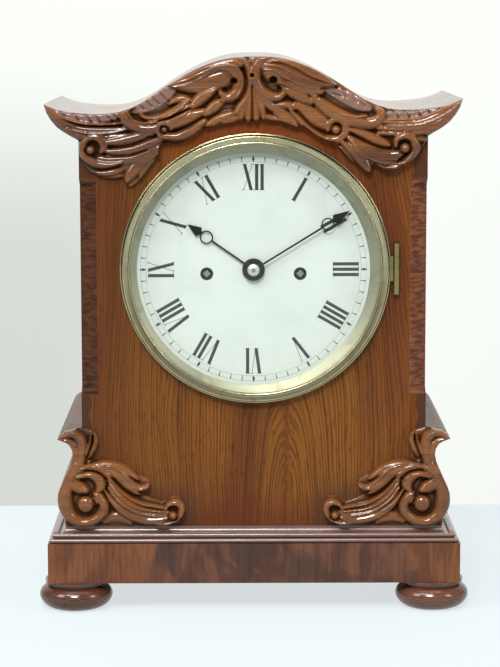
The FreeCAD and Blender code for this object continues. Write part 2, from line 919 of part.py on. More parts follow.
def dial_feet():
    """The four turned feet that hold the dial to the front plate."""
    feet = []
    for x, z in dial_foot_places():
        post = rod_y(x, z, dial_foot_radius, dial_back, plate_front)
        shoulder = rod_y(x, z, 2 * dial_foot_radius, dial_back, dial_back + dial_foot_radius)
        spigot = rod_y(x, z, dial_foot_radius - running_fit, plate_front, train_front + dial_foot_radius)
        feet.append(fused([shoulder, post, spigot]))
    return Part.makeCompound(feet)


def moon_hand(length, ring_place, ring_radius, boss_radius, hole_radius, y0, y1):
    """A hand that points up: boss, thin shaft, open ring and a pointed blade."""
    boss = rod_y(0, 0, boss_radius, y0, y1)
    shaft = block(-hand_shaft / 2, hand_shaft / 2, y0, y1, 0, ring_place - ring_radius + hand_ring_wire / 2)
    ring = tube_y(0, ring_place, ring_radius, ring_radius - hand_ring_wire, y0, y1)
    root = ring_place + ring_radius - hand_ring_wire / 2
    blade = polygon_prism([
        (-hand_shaft / 2, root), (hand_shaft / 2, root),
        (hand_blade / 2, root + hand_blade / 3), (0, length), (-hand_blade / 2, root + hand_blade / 3),
    ], y0, y1)
    hand = fused([boss, shaft, ring, blade])
    return hand.cut(rod_y(0, 0, hole_radius, y0 - overrun, y1 + overrun))


def set_hand(hand, angle):
    """Turns a hand clockwise from twelve and puts it on the dial's centre."""
    hand.rotate(V(0, 0, 0), V(0, 1, 0), angle)
    hand.translate(V(0, 0, dial_height))
    return hand


# Depths in front of the dial, from the dial outwards
hour_hand_back = dial_face - hand_thickness - hand_thickness / 2
hour_hand_front = hour_hand_back - hand_thickness
minute_hand_back = hour_hand_front - 2 * hand_thickness
minute_hand_front = minute_hand_back - hand_thickness
collet_depth = 2.2
hand_arbor_end = minute_hand_front - collet_depth - hand_thickness

cannon_pipe_radius = 2.6
centre_arbor_radius = 1.7
hour_pipe_radius = 4.2


def hour_hand():
    return set_hand(moon_hand(
        hour_hand_length, hour_ring_place, hour_ring_radius, hand_boss_radius,
        hour_pipe_radius, hour_hand_front, hour_hand_back,
    ), hour_hand_angle)


def minute_hand():
    return set_hand(moon_hand(
        minute_hand_length, minute_ring_place, minute_ring_radius,
        hand_boss_radius - hand_thickness, cannon_pipe_radius, minute_hand_front, minute_hand_back,
    ), minute_hand_angle)


# The collet's dome: radius and height as shares of its own.
collet_dome_shares = [
    (0, 0), (1.0, 0), (1.0, 0.2), (0.86, 0.62), (0.55, 0.94), (0.34, 1.0), (0.2, 0.8), (0, 0.8),
]


def hand_collet():
    """The domed collet over the minute hand, with the taper pin through the arbor's end."""
    place = V(0, minute_hand_front, dial_height)
    outline = [(r * collet_radius, -h * collet_depth) for r, h in collet_dome_shares]
    dome = turned(outline, place, V(0, 1, 0))
    return dome.cut(
        rod_y(0, dial_height, centre_arbor_radius, hand_arbor_end - overrun, minute_hand_front)
    )


# Toothed wheels
wheel_tooth_share = 0.43
leaf_tooth_share = 0.33
tooth_height_share = 1.2
tooth_depth_share = 1.35
leaf_height_share = 0.62
leaf_depth_share = 1.6


def rolled_point(pitch, rolling, height):
    """How far round a rolled tooth flank has come at a height over its pitch circle."""
    turn = math.acos(max(-1, 1 - height / rolling * (1 + height / (2 * pitch)) / (1 + rolling / pitch)))
    x = (pitch + rolling) * math.cos(turn * rolling / pitch)
    y = (pitch + rolling) * math.sin(turn * rolling / pitch)
    x -= rolling * math.cos(turn * (1 + rolling / pitch))
    y -= rolling * math.sin(turn * (1 + rolling / pitch))
    return math.atan2(y, x), math.hypot(x, y)


# How far a leaf's flank has turned in halfway up and at its tip, as shares of half a leaf, and
# the depth of a wheel's rim in modules.
leaf_flank_share = 0.25
leaf_tip_share = 0.62
rim_modules = 3.6


def toothed_disc(teeth, module, mate, y0, y1, phase):
    """A toothed disc about the origin's Y axis. Its flanks are radial lines below the pitch
    circle and rolled curves above it, and one tooth points along the phase angle."""
    pitch = teeth * module / 2
    pinion = teeth < 2 * leaves
    half = math.pi / teeth * (leaf_tooth_share if pinion else wheel_tooth_share)
    rolling = mate * module / 2 / 2
    height = module * (leaf_height_share if pinion else tooth_height_share)
    if not pinion and mate > 2 * leaves:
        height = module * leaf_height_share
    root = pitch - module * (leaf_depth_share if pinion else tooth_depth_share)
    flank = [(half, root), (half, pitch)]
    for part in (0.5, 1.0):
        angle, radius = rolled_point(pitch, rolling, height * part)
        if pinion:
            angle = half * (leaf_flank_share if part < 1 else leaf_tip_share)
        flank.append((half - angle, radius))
    corners = []
    for n in range(teeth):
        middle = phase + 2 * math.pi * n / teeth
        for angle, radius in flank:
            corners.append((radius * math.cos(middle - angle), radius * math.sin(middle - angle)))
        for angle, radius in reversed(flank):
            corners.append((radius * math.cos(middle + angle), radius * math.sin(middle + angle)))
    return polygon_prism(corners, y0, y1)


def crossed_out(disc, outer, inner, y0, y1):
    """Cuts four windows in a wheel and leaves four arms."""
    window = tube_y(0, 0, outer, inner, y0 - overrun, y1 + overrun)
    arm = inner / 2
    for across in (
        block(-arm, arm, y0 - 2 * overrun, y1 + 2 * overrun, -outer, outer),
        block(-outer, outer, y0 - 2 * overrun, y1 + 2 * overrun, -arm, arm),
    ):
        window = window.cut(across)
    return disc.cut(window)


# A wheel's hub in arbor radii.
large_hub = 3.0
small_hub = 2.4


def crossed_wheel(teeth, module, mate, y0, y1, phase, hub):
    disc = toothed_disc(teeth, module, mate, y0, y1, phase)
    rim = teeth * module / 2 - rim_modules * module
    return crossed_out(disc, rim, hub, y0, y1)


def arbor(pinion_lane, thickness):
    """An arbor in two lengths, before and behind its pinion, with a pivot at each end."""
    y0, y1 = lane(pinion_lane, thickness)
    return [
        rod_y(0, 0, arbor_radius, train_front + end_shake, y0 - pinion_overlap),
        rod_y(0, 0, arbor_radius, y1 + pinion_overlap, train_back - end_shake),
        rod_y(0, 0, pivot_radius, plate_front, train_front + overrun),
        rod_y(0, 0, pivot_radius, train_back - overrun, plate_back),
    ]


def bearing(a, b):
    """The direction from one arbor to another."""
    return math.atan2(b[1] - a[1], b[0] - a[0])


def step_from(place, distance, degrees):
    """An arbor's place at a distance and direction from another."""
    angle = math.radians(degrees)
    return place[0] + distance * math.cos(angle), place[1] + distance * math.sin(angle)


def meshing(teeth, mate, module):
    """The distance between two arbors in mesh."""
    return (teeth + mate) * module / 2


# Arbor places relative to the dial's centre
third_bearing = 75.0
pin_bearing = 65.0
locking_bearing = 110.0
fly_bearing = 80.0
centre_place = (0.0, 0.0)
going_fusee_place = (winding_offset, -winding_drop)
strike_fusee_place = (-winding_offset, -winding_drop)
third_place = step_from(centre_place, meshing(centre_teeth, leaves, centre_module), third_bearing)
escape_place = (0.0, third_place[1] + math.sqrt(
    meshing(third_teeth, leaves, third_module) ** 2 - third_place[0] ** 2))
pallet_place = (0.0, escape_place[1] + pallet_distance)
minute_wheel_place = (0.0, -meshing(cannon_teeth, cannon_teeth, motion_module))
hour_module = 2 * abs(minute_wheel_place[1]) / (hour_teeth + leaves)
pin_place = step_from(
    strike_fusee_place, meshing(strike_great_teeth, leaves, strike_great_module), pin_bearing)
locking_place = step_from(pin_place, meshing(pin_teeth, leaves, pin_module), locking_bearing)
fly_place = step_from(locking_place, meshing(locking_teeth, leaves, locking_module), fly_bearing)
going_barrel_place = (barrel_offset_x, -barrel_drop)
strike_barrel_place = (-barrel_offset_x, -barrel_drop)
hammer_place = (-bell_radius - hammer_gap - hammer_head_length / 2, locking_place[1])

# Lanes between the plates, measured back from the front plate
centre_lane = 3.0
third_lane = 13.0
locking_lane = 30.0
escape_lane = 36.5
fusee_front = 9.0
fusee_back = 41.5
great_lane = 43.6
pin_lane = 48.2
pinion_overlap = 1.4


def lane(offset, thickness):
    """The front and back of a wheel in its lane."""
    return train_front + offset, train_front + offset + thickness


def place_at(shape, place):
    shape.translate(V(place[0], 0, dial_height + place[1]))
    return shape


def pinion_for(wheel_lane, thickness, module, mate, phase):
    """A pinion a little longer than the wheel that drives it."""
    y0, y1 = lane(wheel_lane, thickness)
    return toothed_disc(leaves, module, mate, y0 - pinion_overlap, y1 + pinion_overlap, phase)


def gap_towards(angle, teeth):
    """The phase that puts a gap, not a tooth, in a direction."""
    return angle + math.pi / teeth


def centre_wheel():
    """The centre arbor with its wheel and pinion, reaching forward to the hands."""
    wheel_phase = bearing(centre_place, third_place)
    y0, y1 = lane(centre_lane, wheel_thickness)
    wheel = crossed_wheel(centre_teeth, centre_module, leaves, y0, y1, wheel_phase, large_hub * arbor_radius)
    pinion_phase = gap_towards(bearing(centre_place, going_fusee_place), leaves)
    pinion = pinion_for(great_lane, great_thickness, great_module, great_teeth, pinion_phase)
    back_pivot = rod_y(0, 0, pivot_radius, train_back - 2 * end_shake, plate_back)
    shaft = rod_y(0, 0, centre_arbor_radius, hand_arbor_end, train_back - end_shake)
    return place_at(fused([wheel, pinion, back_pivot, shaft]), centre_place)


def cannon_wheel():
    """The cannon pipe and wheel that carry the minute hand."""
    y0 = plate_front - end_shake - 2 * wheel_thickness
    wheel_phase = bearing(centre_place, minute_wheel_place)
    wheel = toothed_disc(cannon_teeth, motion_module, cannon_teeth, y0, y0 + wheel_thickness, wheel_phase)
    pipe = rod_y(0, 0, cannon_pipe_radius, minute_hand_front, y0 + wheel_thickness)
    bore = rod_y(0, 0, centre_arbor_radius + running_fit, hand_arbor_end, plate_front)
    return place_at(fused([wheel, pipe]).cut(bore), centre_place)


def minute_wheel():
    """The minute wheel and its pinion, on a stud in the front plate."""
    y0 = plate_front - end_shake - 2 * wheel_thickness
    wheel_phase = gap_towards(bearing(minute_wheel_place, centre_place), cannon_teeth)
    wheel = toothed_disc(cannon_teeth, motion_module, cannon_teeth, y0, y0 + wheel_thickness, wheel_phase)
    pinion_phase = gap_towards(bearing(minute_wheel_place, centre_place), leaves)
    pinion = toothed_disc(leaves, hour_module, hour_teeth, y0 - 3 * wheel_thickness, y0, pinion_phase)
    bore = rod_y(0, 0, stud_radius + running_fit, dial_back, plate_front)
    return place_at(fused([wheel, pinion]).cut(bore), minute_wheel_place)


def hour_wheel():
    """The hour wheel on its pipe, which turns over the cannon pipe."""
    y1 = plate_front - end_shake - 3 * wheel_thickness
    y0 = y1 - wheel_thickness
    wheel = toothed_disc(hour_teeth, hour_module, leaves, y0, y1, bearing(centre_place, minute_wheel_place))
    pipe = rod_y(0, 0, hour_pipe_radius, hour_hand_front, y1)
    bore = rod_y(0, 0, cannon_pipe_radius + running_fit, hour_hand_front - overrun, y1 + overrun)
    return place_at(fused([wheel, pipe]).cut(bore), centre_place)


# The fusee's hollow line, and where a groove starts and ends in each turn.
fusee_curve = 1.5
groove_start = 0.3
groove_end = 0.7


def fusee_outline(y0, y1):
    """The grooved cone of a fusee, larger towards its great wheel."""
    step = (y1 - y0) / fusee_turns
    points = [(0, y0)]
    for n in range(fusee_turns):
        share = n / (fusee_turns - 1)
        radius = fusee_small_radius + (fusee_large_radius - fusee_small_radius) * share ** fusee_curve
        points += [
            (radius, y0 + n * step), (radius, y0 + (n + groove_start) * step),
            (radius - line_radius, y0 + (n + 0.5) * step),
            (radius - line_radius, y0 + (n + groove_end) * step),
        ]
    radius = fusee_large_radius + line_radius
    return points + [(radius, y1), (radius, y1 + line_radius), (0, y1 + line_radius)]


def fusee(teeth, module, mate_place, place):
    """A fusee with its great wheel, its arbor and the winding square behind the dial."""
    y0, y1 = lane(fusee_front, fusee_back - fusee_front)
    cone = turned(fusee_outline(y0, y1), V(0, 0, 0), V(0, 1, 0))
    w0, w1 = lane(great_lane, great_thickness)
    wheel = toothed_disc(teeth, module, leaves, w0, w1, bearing(place, mate_place))
    hub = rod_y(0, 0, 2 * winding_arbor_radius, y1, w1)
    shaft = rod_y(0, 0, winding_arbor_radius, train_front + end_shake, train_back - end_shake)
    pivot = rod_y(0, 0, 2 * pivot_radius, train_back - overrun, plate_back)
    neck = rod_y(0, 0, winding_arbor_radius - end_shake, dial_back + winding_square, train_front + overrun)
    half = winding_square / 2
    square = block(-half, half, dial_face + overrun, dial_back + winding_square + overrun, -half, half)
    square.rotate(V(0, 0, 0), V(0, 1, 0), 45)
    return place_at(fused([cone, wheel, hub, shaft, pivot, neck, square]), place)


def barrel(place):
    """A spring barrel with its caps, arbor and ratchet wheel."""
    y0, y1 = lane(fusee_front, fusee_back - fusee_front)
    cap = line_radius * 2
    body = rod_y(0, 0, barrel_radius, y0, y1)
    flanges = [
        rod_y(0, 0, barrel_radius + line_radius, y0, y0 + cap),
        rod_y(0, 0, barrel_radius + line_radius, y1 - cap, y1),
    ]
    shaft = rod_y(0, 0, 2 * arbor_radius, train_front + end_shake, train_back - end_shake)
    pivot = rod_y(0, 0, pivot_radius, plate_front, plate_back)
    return place_at(fused([body, shaft, pivot] + flanges), place)


def third_wheel():
    """The third arbor with its wheel and pinion."""
    wheel_phase = bearing(third_place, escape_place)
    y0, y1 = lane(third_lane, wheel_thickness)
    wheel = crossed_wheel(third_teeth, third_module, leaves, y0, y1, wheel_phase, small_hub * arbor_radius)
    pinion_phase = gap_towards(bearing(third_place, centre_place), leaves)
    pinion = pinion_for(centre_lane, wheel_thickness, centre_module, centre_teeth, pinion_phase)
    return place_at(fused([wheel, pinion] + arbor(centre_lane, wheel_thickness)), third_place)


# One escape tooth: depth as a share of its height, place as a share of the tooth spacing
escape_tooth_shares = [(1, -0.42), (0, -0.06), (0, 0.06), (1, 0.14)]


def escape_wheel():
    """The thirty-toothed escape wheel on its arbor."""
    y0, y1 = lane(escape_lane, wheel_thickness / 2)
    root = escape_radius - escape_tooth
    corners = []
    pitch = 2 * math.pi / escape_teeth
    for n in range(escape_teeth):
        middle = math.pi / 2 + pitch * n
        for radius, share in escape_tooth_shares:
            angle = middle + share * pitch
            length = escape_radius - radius * escape_tooth
            corners.append((length * math.cos(angle), length * math.sin(angle)))
    disc = polygon_prism(corners, y0, y1)
    wheel = crossed_out(disc, root - escape_tooth, small_hub * arbor_radius, y0, y1)
    pinion_phase = gap_towards(bearing(escape_place, third_place), leaves)
    pinion = pinion_for(third_lane, wheel_thickness, third_module, third_teeth, pinion_phase)
    return place_at(fused([wheel, pinion] + arbor(third_lane, wheel_thickness)), escape_place)


# Escapement and pendulum, behind the back plate
crutch_gap = 6.0
crutch_thickness = 1.6
crutch_length = 58.0
pendulum_gap = 15.0
cock_half = 24.0
cock_foot = 7.0
cock_height = 22.0
cock_thickness = 3.0
cock_nose = 8.0
spring_width = 6.0
spring_thickness = 0.4
suspension_rise = 16.0
suspension_slot = 2.6
pallet_width = 2.2


# The pallets' depth in wheel thicknesses, and where the crutch starts in arbor radii.
pallet_depth = 1.5
crutch_start = 1.5


def pallets():
    """The pallets, their arbor and the crutch behind the back plate."""
    y0, y1 = lane(escape_lane - wheel_thickness / 2, pallet_depth * wheel_thickness)
    reach = escape_radius + pallet_clearance
    angle = math.acos(pallet_distance / (2 * reach))
    drop_x, drop_z = reach * math.sin(angle), pallet_distance - reach * math.cos(angle)
    arms = []
    for side in (-1, 1):
        arms.append(polygon_prism([
            (0, 2 * arbor_radius), (side * (drop_x + pallet_width), -drop_z + pallet_width),
            (side * (drop_x + pallet_width), -drop_z), (side * drop_x, -drop_z),
            (0, -arbor_radius / 2),
        ], y0, y1))
    hub = rod_y(0, 0, 2 * arbor_radius, y0 - wheel_thickness, y1 + wheel_thickness)
    shaft_end = plate_back + crutch_gap + crutch_thickness / 2
    shaft = rod_y(0, 0, arbor_radius, train_front + end_shake, shaft_end)
    front_pivot = rod_y(0, 0, pivot_radius, plate_front, train_front + overrun)
    back_pivot = rod_y(0, 0, pivot_radius, shaft_end, cock_plate_back())
    c0 = plate_back + crutch_gap
    c1 = c0 + crutch_thickness
    half = crutch_thickness / 2
    crutch = block(-half, half, c0, c1, -crutch_length, -crutch_start * arbor_radius)
    crutch_hub = rod_y(0, 0, 2 * arbor_radius, c0, c1)
    gap = rod_radius + running_fit
    rod_back = plate_back + pendulum_gap + gap
    fork = []
    for side in (-1, 1):
        x0, x1 = sorted((side * gap, side * (gap + crutch_thickness)))
        fork.append(block(x0, x1, c1, rod_back, -crutch_length - crutch_thickness, -crutch_length))
    bridge = block(
        -gap - crutch_thickness, gap + crutch_thickness, c0, c1,
        -crutch_length - crutch_thickness, -crutch_length,
    )
    return place_at(fused(
        arms + [hub, shaft, front_pivot, back_pivot, crutch, crutch_hub, bridge] + fork), pallet_place)


def cock_plate_front():
    return plate_back + crutch_gap + crutch_thickness + end_shake


def cock_plate_back():
    return cock_plate_front() + cock_thickness


def back_cock():
    """The back cock: a bridge on two feet with the nose that the pendulum hangs from."""
    y0, y1 = cock_plate_front(), cock_plate_back()
    low, high = -cock_height / 3, 2 * cock_height / 3
    bridge = block(-cock_half, cock_half, y0, y1, low, high)
    feet = []
    for side in (-1, 1):
        x0, x1 = sorted((side * cock_half, side * (cock_half - cock_foot)))
        feet.append(block(x0, x1, plate_back, y0, low, high))
    nose_back = plate_back + pendulum_gap + spring_width / 2 + overrun
    nose = block(-cock_nose, cock_nose, y0, nose_back, high - cock_nose, high)
    slot_front = plate_back + pendulum_gap - spring_width / 2 - moving_gap
    slot = block(
        -suspension_slot / 2, suspension_slot / 2, slot_front, nose_back + overrun,
        low - overrun, high + overrun,
    )
    pivot_hole = rod_y(0, 0, pivot_radius + running_fit, y0 - overrun, y1 + overrun)
    return place_at(fused([bridge, nose] + feet).cut(slot).cut(pivot_hole), pallet_place)


def pendulum_rod():
    """The suspension block and spring with the steel pendulum rod below."""
    y = plate_back + pendulum_gap
    high = 2 * cock_height / 3
    half = suspension_slot
    block_low = high + seat_gap
    top = block(
        -half, half, y - spring_width / 2, y + spring_width / 2, block_low, block_low + spring_width,
    )
    strip = block(
        -spring_thickness / 2, spring_thickness / 2, y - spring_width / 2, y + spring_width / 2,
        -suspension_rise, block_low + overrun,
    )
    low = -pendulum_length - bob_radius - nut_height - 2 * nut_gap
    rod = rod_z(0, y, rod_radius, low, -suspension_rise + overrun)
    return place_at(fused([top, strip, rod]), pallet_place)


nut_height = 6.0
nut_radius = 6.0
nut_knurls = 24
nut_gap = 1.0


# The bob's section: radius and depth as shares of its own.
bob_lens_shares = [
    (0, 0.5), (0.5, 0.44), (0.82, 0.28), (1.0, 0.06), (1.0, -0.06), (0.82, -0.28), (0.5, -0.44),
    (0, -0.5),
]


def pendulum_bob():
    """The lens-shaped brass bob, bored for the rod."""
    y = plate_back + pendulum_gap
    outline = [(r * bob_radius, h * bob_thickness) for r, h in bob_lens_shares]
    lens = turned(outline, V(0, y, 0), V(0, 1, 0))
    bore = rod_z(0, y, rod_radius + running_fit, -bob_radius - overrun, bob_radius + overrun)
    return place_at(lens.cut(bore), (0, pallet_place[1] - pendulum_length))


def rating_nut():
    """The milled nut under the bob that sets the clock's rate."""
    y = plate_back + pendulum_gap
    nut = rod_z(0, y, nut_radius, 0, nut_height)
    for n in range(nut_knurls):
        angle = 2 * math.pi * n / nut_knurls
        nut = nut.cut(rod_z(
            nut_radius * math.cos(angle), y + nut_radius * math.sin(angle), nut_gap / 3,
            -overrun, nut_height + overrun,
        ))
    nut = nut.cut(rod_z(0, y, rod_radius + running_fit, -overrun, nut_height + overrun))
    return place_at(nut, (0, pallet_place[1] - pendulum_length - bob_radius - nut_height - seat_gap))


# Striking train
pins = 8
pin_circle = 15.0
pin_radius = 0.7
pin_length = 1.6
fly_half_width = 12.0
fly_thickness = 0.5
fly_front = 8.0
fly_back = 26.0


def pin_wheel():
    """The pin wheel arbor: its pins lift the hammer's tail."""
    wheel_phase = bearing(pin_place, locking_place)
    y0, y1 = lane(pin_lane, wheel_thickness / 2 + end_shake)
    wheel = toothed_disc(pin_teeth, pin_module, leaves, y0, y1, wheel_phase)
    pinion_phase = gap_towards(bearing(pin_place, strike_fusee_place), leaves)
    pinion = pinion_for(great_lane, great_thickness, strike_great_module, strike_great_teeth, pinion_phase)
    solids = [wheel, pinion] + arbor(great_lane, great_thickness)
    for n in range(pins):
        angle = 2 * math.pi * n / pins
        solids.append(rod_y(
            pin_circle * math.cos(angle), pin_circle * math.sin(angle), pin_radius, y1, y1 + pin_length,
        ))
    return place_at(fused(solids), pin_place)


def locking_wheel():
    """The locking wheel arbor between the pin wheel and the fly."""
    wheel_phase = bearing(locking_place, fly_place)
    y0, y1 = lane(locking_lane, wheel_thickness)
    wheel = crossed_wheel(locking_teeth, locking_module, leaves, y0, y1, wheel_phase, small_hub * arbor_radius)
    pinion_phase = gap_towards(bearing(locking_place, pin_place), leaves)
    thickness = wheel_thickness / 2 + end_shake
    pinion = pinion_for(pin_lane, thickness, pin_module, pin_teeth, pinion_phase)
    return place_at(fused([wheel, pinion] + arbor(pin_lane, thickness)), locking_place)


def fly():
    """The fly that governs the speed of striking."""
    y0, y1 = lane(fly_front, fly_back - fly_front)
    vane = block(-fly_half_width, fly_half_width, y0, y1, -fly_thickness / 2, fly_thickness / 2)
    pinion_phase = gap_towards(bearing(fly_place, locking_place), leaves)
    pinion = pinion_for(locking_lane, wheel_thickness, locking_module, locking_teeth, pinion_phase)
    return place_at(fused([vane, pinion] + arbor(locking_lane, wheel_thickness)), fly_place)


# Bell, stand and hammer
bell_mouth = plate_above + bell_lift
bell_y = front + front_board + bell_radius + 2 * bell_wall
stand_width = 9.0
stand_side = 46.0
stand_thickness = 3.0
bell_screw_radius = 2.0

# The bell's outer line from its mouth to its crown: shares of its radius and height.
bell_shares = [(1.0, 0.0), (0.93, 0.10), (0.86, 0.35), (0.78, 0.62), (0.62, 0.84), (0.38, 0.97)]


def bell_profile():
    """The bell's outer and inner outline, from the mouth to the crown."""
    outer = [(r * bell_radius, h * bell_height) for r, h in bell_shares]
    inner = [(r - bell_wall, h - (bell_wall if h else 0)) for r, h in outer]
    hole = bell_screw_radius + running_fit
    crown = bell_height
    return outer + [(hole, crown), (hole, crown - bell_wall)] + inner[:0:-1] + [inner[0]]


def bell():
    """The bell over the movement, mouth down."""
    return turned(bell_profile(), V(0, bell_y, dial_height + bell_mouth), V(0, 0, 1))


def bell_stand():
    """The stand that is screwed to the back plate and holds the bell by its crown."""
    base = dial_height + plate_above - 3 * stand_width
    top = dial_height + bell_mouth + bell_height + stand_thickness
    upright = block(
        stand_side - stand_width / 2, stand_side + stand_width / 2,
        plate_back, plate_back + stand_thickness, base, top,
    )
    x0, x1 = -stand_width / 2, stand_side + stand_width / 2
    arm = block(x0, x1, bell_y - stand_width / 2, plate_back + stand_thickness, top, top + stand_thickness)
    screw_low = top - 2 * stand_thickness - bell_wall
    screw = rod_z(0, bell_y, bell_screw_radius, screw_low, top + 2 * stand_thickness)
    washer = rod_z(0, bell_y, 2 * bell_screw_radius, top - stand_thickness + seat_gap / 3, top)
    nut_low = dial_height + bell_mouth + bell_height - bell_wall
    nut = rod_z(0, bell_y, 2 * bell_screw_radius, nut_low - 2 * bell_wall, nut_low - seat_gap)
    return fused([upright, arm, screw, washer, nut])


def hammer():
    """The hammer: arbor, tail towards the pin wheel, arm and head outside the bell's rim."""
    y = bell_y
    shaft = fused([
        rod_y(0, 0, arbor_radius, train_front + end_shake, train_back - end_shake),
        rod_y(0, 0, pivot_radius, plate_front, plate_back),
    ])
    rise = bell_mouth - hammer_place[1] + bell_wall
    arm = block(-arbor_radius, arbor_radius, y - arbor_radius, y + arbor_radius, 0, rise)
    head = Part.makeCylinder(
        hammer_head_radius, hammer_head_length, V(-hammer_head_length / 2, y, rise), V(1, 0, 0))
    tail_reach = pin_tail_reach()
    angle = bearing(hammer_place, pin_place)
    y0, y1 = lane(pin_lane + wheel_thickness / 2 + 2 * end_shake, pin_length - end_shake)
    nx, nz = -math.sin(angle) * arbor_radius, math.cos(angle) * arbor_radius
    tx, tz = tail_reach * math.cos(angle), tail_reach * math.sin(angle)
    tail = polygon_prism([(nx, nz), (tx + nx, tz + nz), (tx - nx, tz - nz), (-nx, -nz)], y0, y1)
    return place_at(fused([shaft, arm, head, tail]), hammer_place)


def pin_tail_reach():
    """How far the hammer's tail reaches, just short of the circle that the pins sweep."""
    distance = math.hypot(pin_place[0] - hammer_place[0], pin_place[1] - hammer_place[1])
    return distance - pin_circle - pin_radius - moving_gap


# Plates and pillars
def pillar_places():
    x = plate_half_width - pillar_inset
    heights = (plate_above - pillar_inset, -plate_below + pillar_inset)
    return [(sx * x, z) for sx in (-1, 1) for z in heights]


def plate(y0, y1, holes):
    """A movement plate with holes given as (place, radius)."""
    board = block(
        -plate_half_width, plate_half_width, y0, y1, dial_height - plate_below, dial_height + plate_above,
    )
    for place, radius in holes:
        board = board.cut(rod_y(place[0], dial_height + place[1], radius, y0 - overrun, y1 + overrun))
    return board


def pivot_holes():
    """Holes that both plates share."""
    places = [
        third_place, escape_place, pin_place, locking_place, fly_place, hammer_place,
        going_barrel_place, strike_barrel_place,
    ]
    return [(place, pivot_radius + running_fit) for place in places]


def front_plate():
    holes = pivot_holes() + [
        (centre_place, centre_arbor_radius + running_fit),
        (pallet_place, pivot_radius + running_fit),
        (going_fusee_place, winding_arbor_radius - end_shake + running_fit),
        (strike_fusee_place, winding_arbor_radius - end_shake + running_fit),
    ]
    holes += [((x, z - dial_height), dial_foot_radius) for x, z in dial_foot_places()]
    board = plate(plate_front, train_front, holes)
    stud_end = plate_front - end_shake - 5 * wheel_thickness
    stud = rod_y(minute_wheel_place[0], dial_height + minute_wheel_place[1], stud_radius, stud_end,
                 plate_front + overrun)
    return fused([board, stud])


def back_plate():
    holes = pivot_holes() + [
        (centre_place, pivot_radius + running_fit),
        (pallet_place, arbor_radius + moving_gap),
        (going_fusee_place, 2 * pivot_radius + running_fit),
        (strike_fusee_place, 2 * pivot_radius + running_fit),
    ]
    return plate(train_back, plate_back, holes)


# A pillar's turned line: radius and length as shares of its own.
pillar_shares = [
    (0, 0), (1.4, 0), (1.4, 0.06), (0.9, 0.10), (0.8, 0.30), (1.0, 0.42), (1.5, 0.46),
    (1.5, 0.54), (1.0, 0.58), (0.8, 0.70), (0.9, 0.90), (1.4, 0.94), (1.4, 1.0), (0, 1.0),
]


def pillars():
    """The four turned pillars between the plates."""
    solids = []
    for x, z in pillar_places():
        outline = [(r * pillar_radius, h * pillar_length) for r, h in pillar_shares]
        solids.append(turned(outline, V(x, train_front, dial_height + z), V(0, 1, 0)))
    return Part.makeCompound(solids)


def fusee_lines():
    """The lines from the fusees to their barrels, straight between the two."""
    solids = []
    y = train_front + (fusee_front + fusee_back) / 2
    share = 0.5
    fusee_radius = fusee_small_radius + (fusee_large_radius - fusee_small_radius) * share ** fusee_curve
    for side in (-1, 1):
        a = (side * winding_offset, -winding_drop)
        b = (side * barrel_offset_x, -barrel_drop)
        distance = math.hypot(b[0] - a[0], b[1] - a[1])
        offset = line_radius + seat_gap
        ra, rb = fusee_radius + offset + line_radius, barrel_radius + offset
        along = math.atan2(b[1] - a[1], b[0] - a[0])
        normal = along + side * (math.pi / 2 + math.asin((rb - ra) / distance))
        start = V(a[0] + ra * math.cos(normal), y, dial_height + a[1] + ra * math.sin(normal))
        end = V(b[0] + rb * math.cos(normal), y, dial_height + b[1] + rb * math.sin(normal))
        solids.append(Part.makeCylinder(line_radius, (end - start).Length, start, end - start))
    return Part.makeCompound(solids)


# The seat that carries the movement
seat_thickness = 14.0
seat_back_margin = 4.0
cleat_height = 14.0
cleat_width = 12.0


def seat_span():
    return front + front_board, plate_back + seat_back_margin


def seat_board():
    """The board that the movement stands on."""
    y0, y1 = seat_span()
    top = dial_height - plate_below
    inner = case_half - side_board
    return block(-inner, inner, y0, y1, top - seat_thickness, top)


def seat_cleats():
    """Two blocks on the case sides under the seat board."""
    y0, y1 = seat_span()
    top = dial_height - plate_below - seat_thickness
    inner = case_half - side_board
    return Part.makeCompound([
        block(-inner, -inner + cleat_width, y0, y1, top - cleat_height, top),
        block(inner - cleat_width, inner, y0, y1, top - cleat_height, top),
    ])


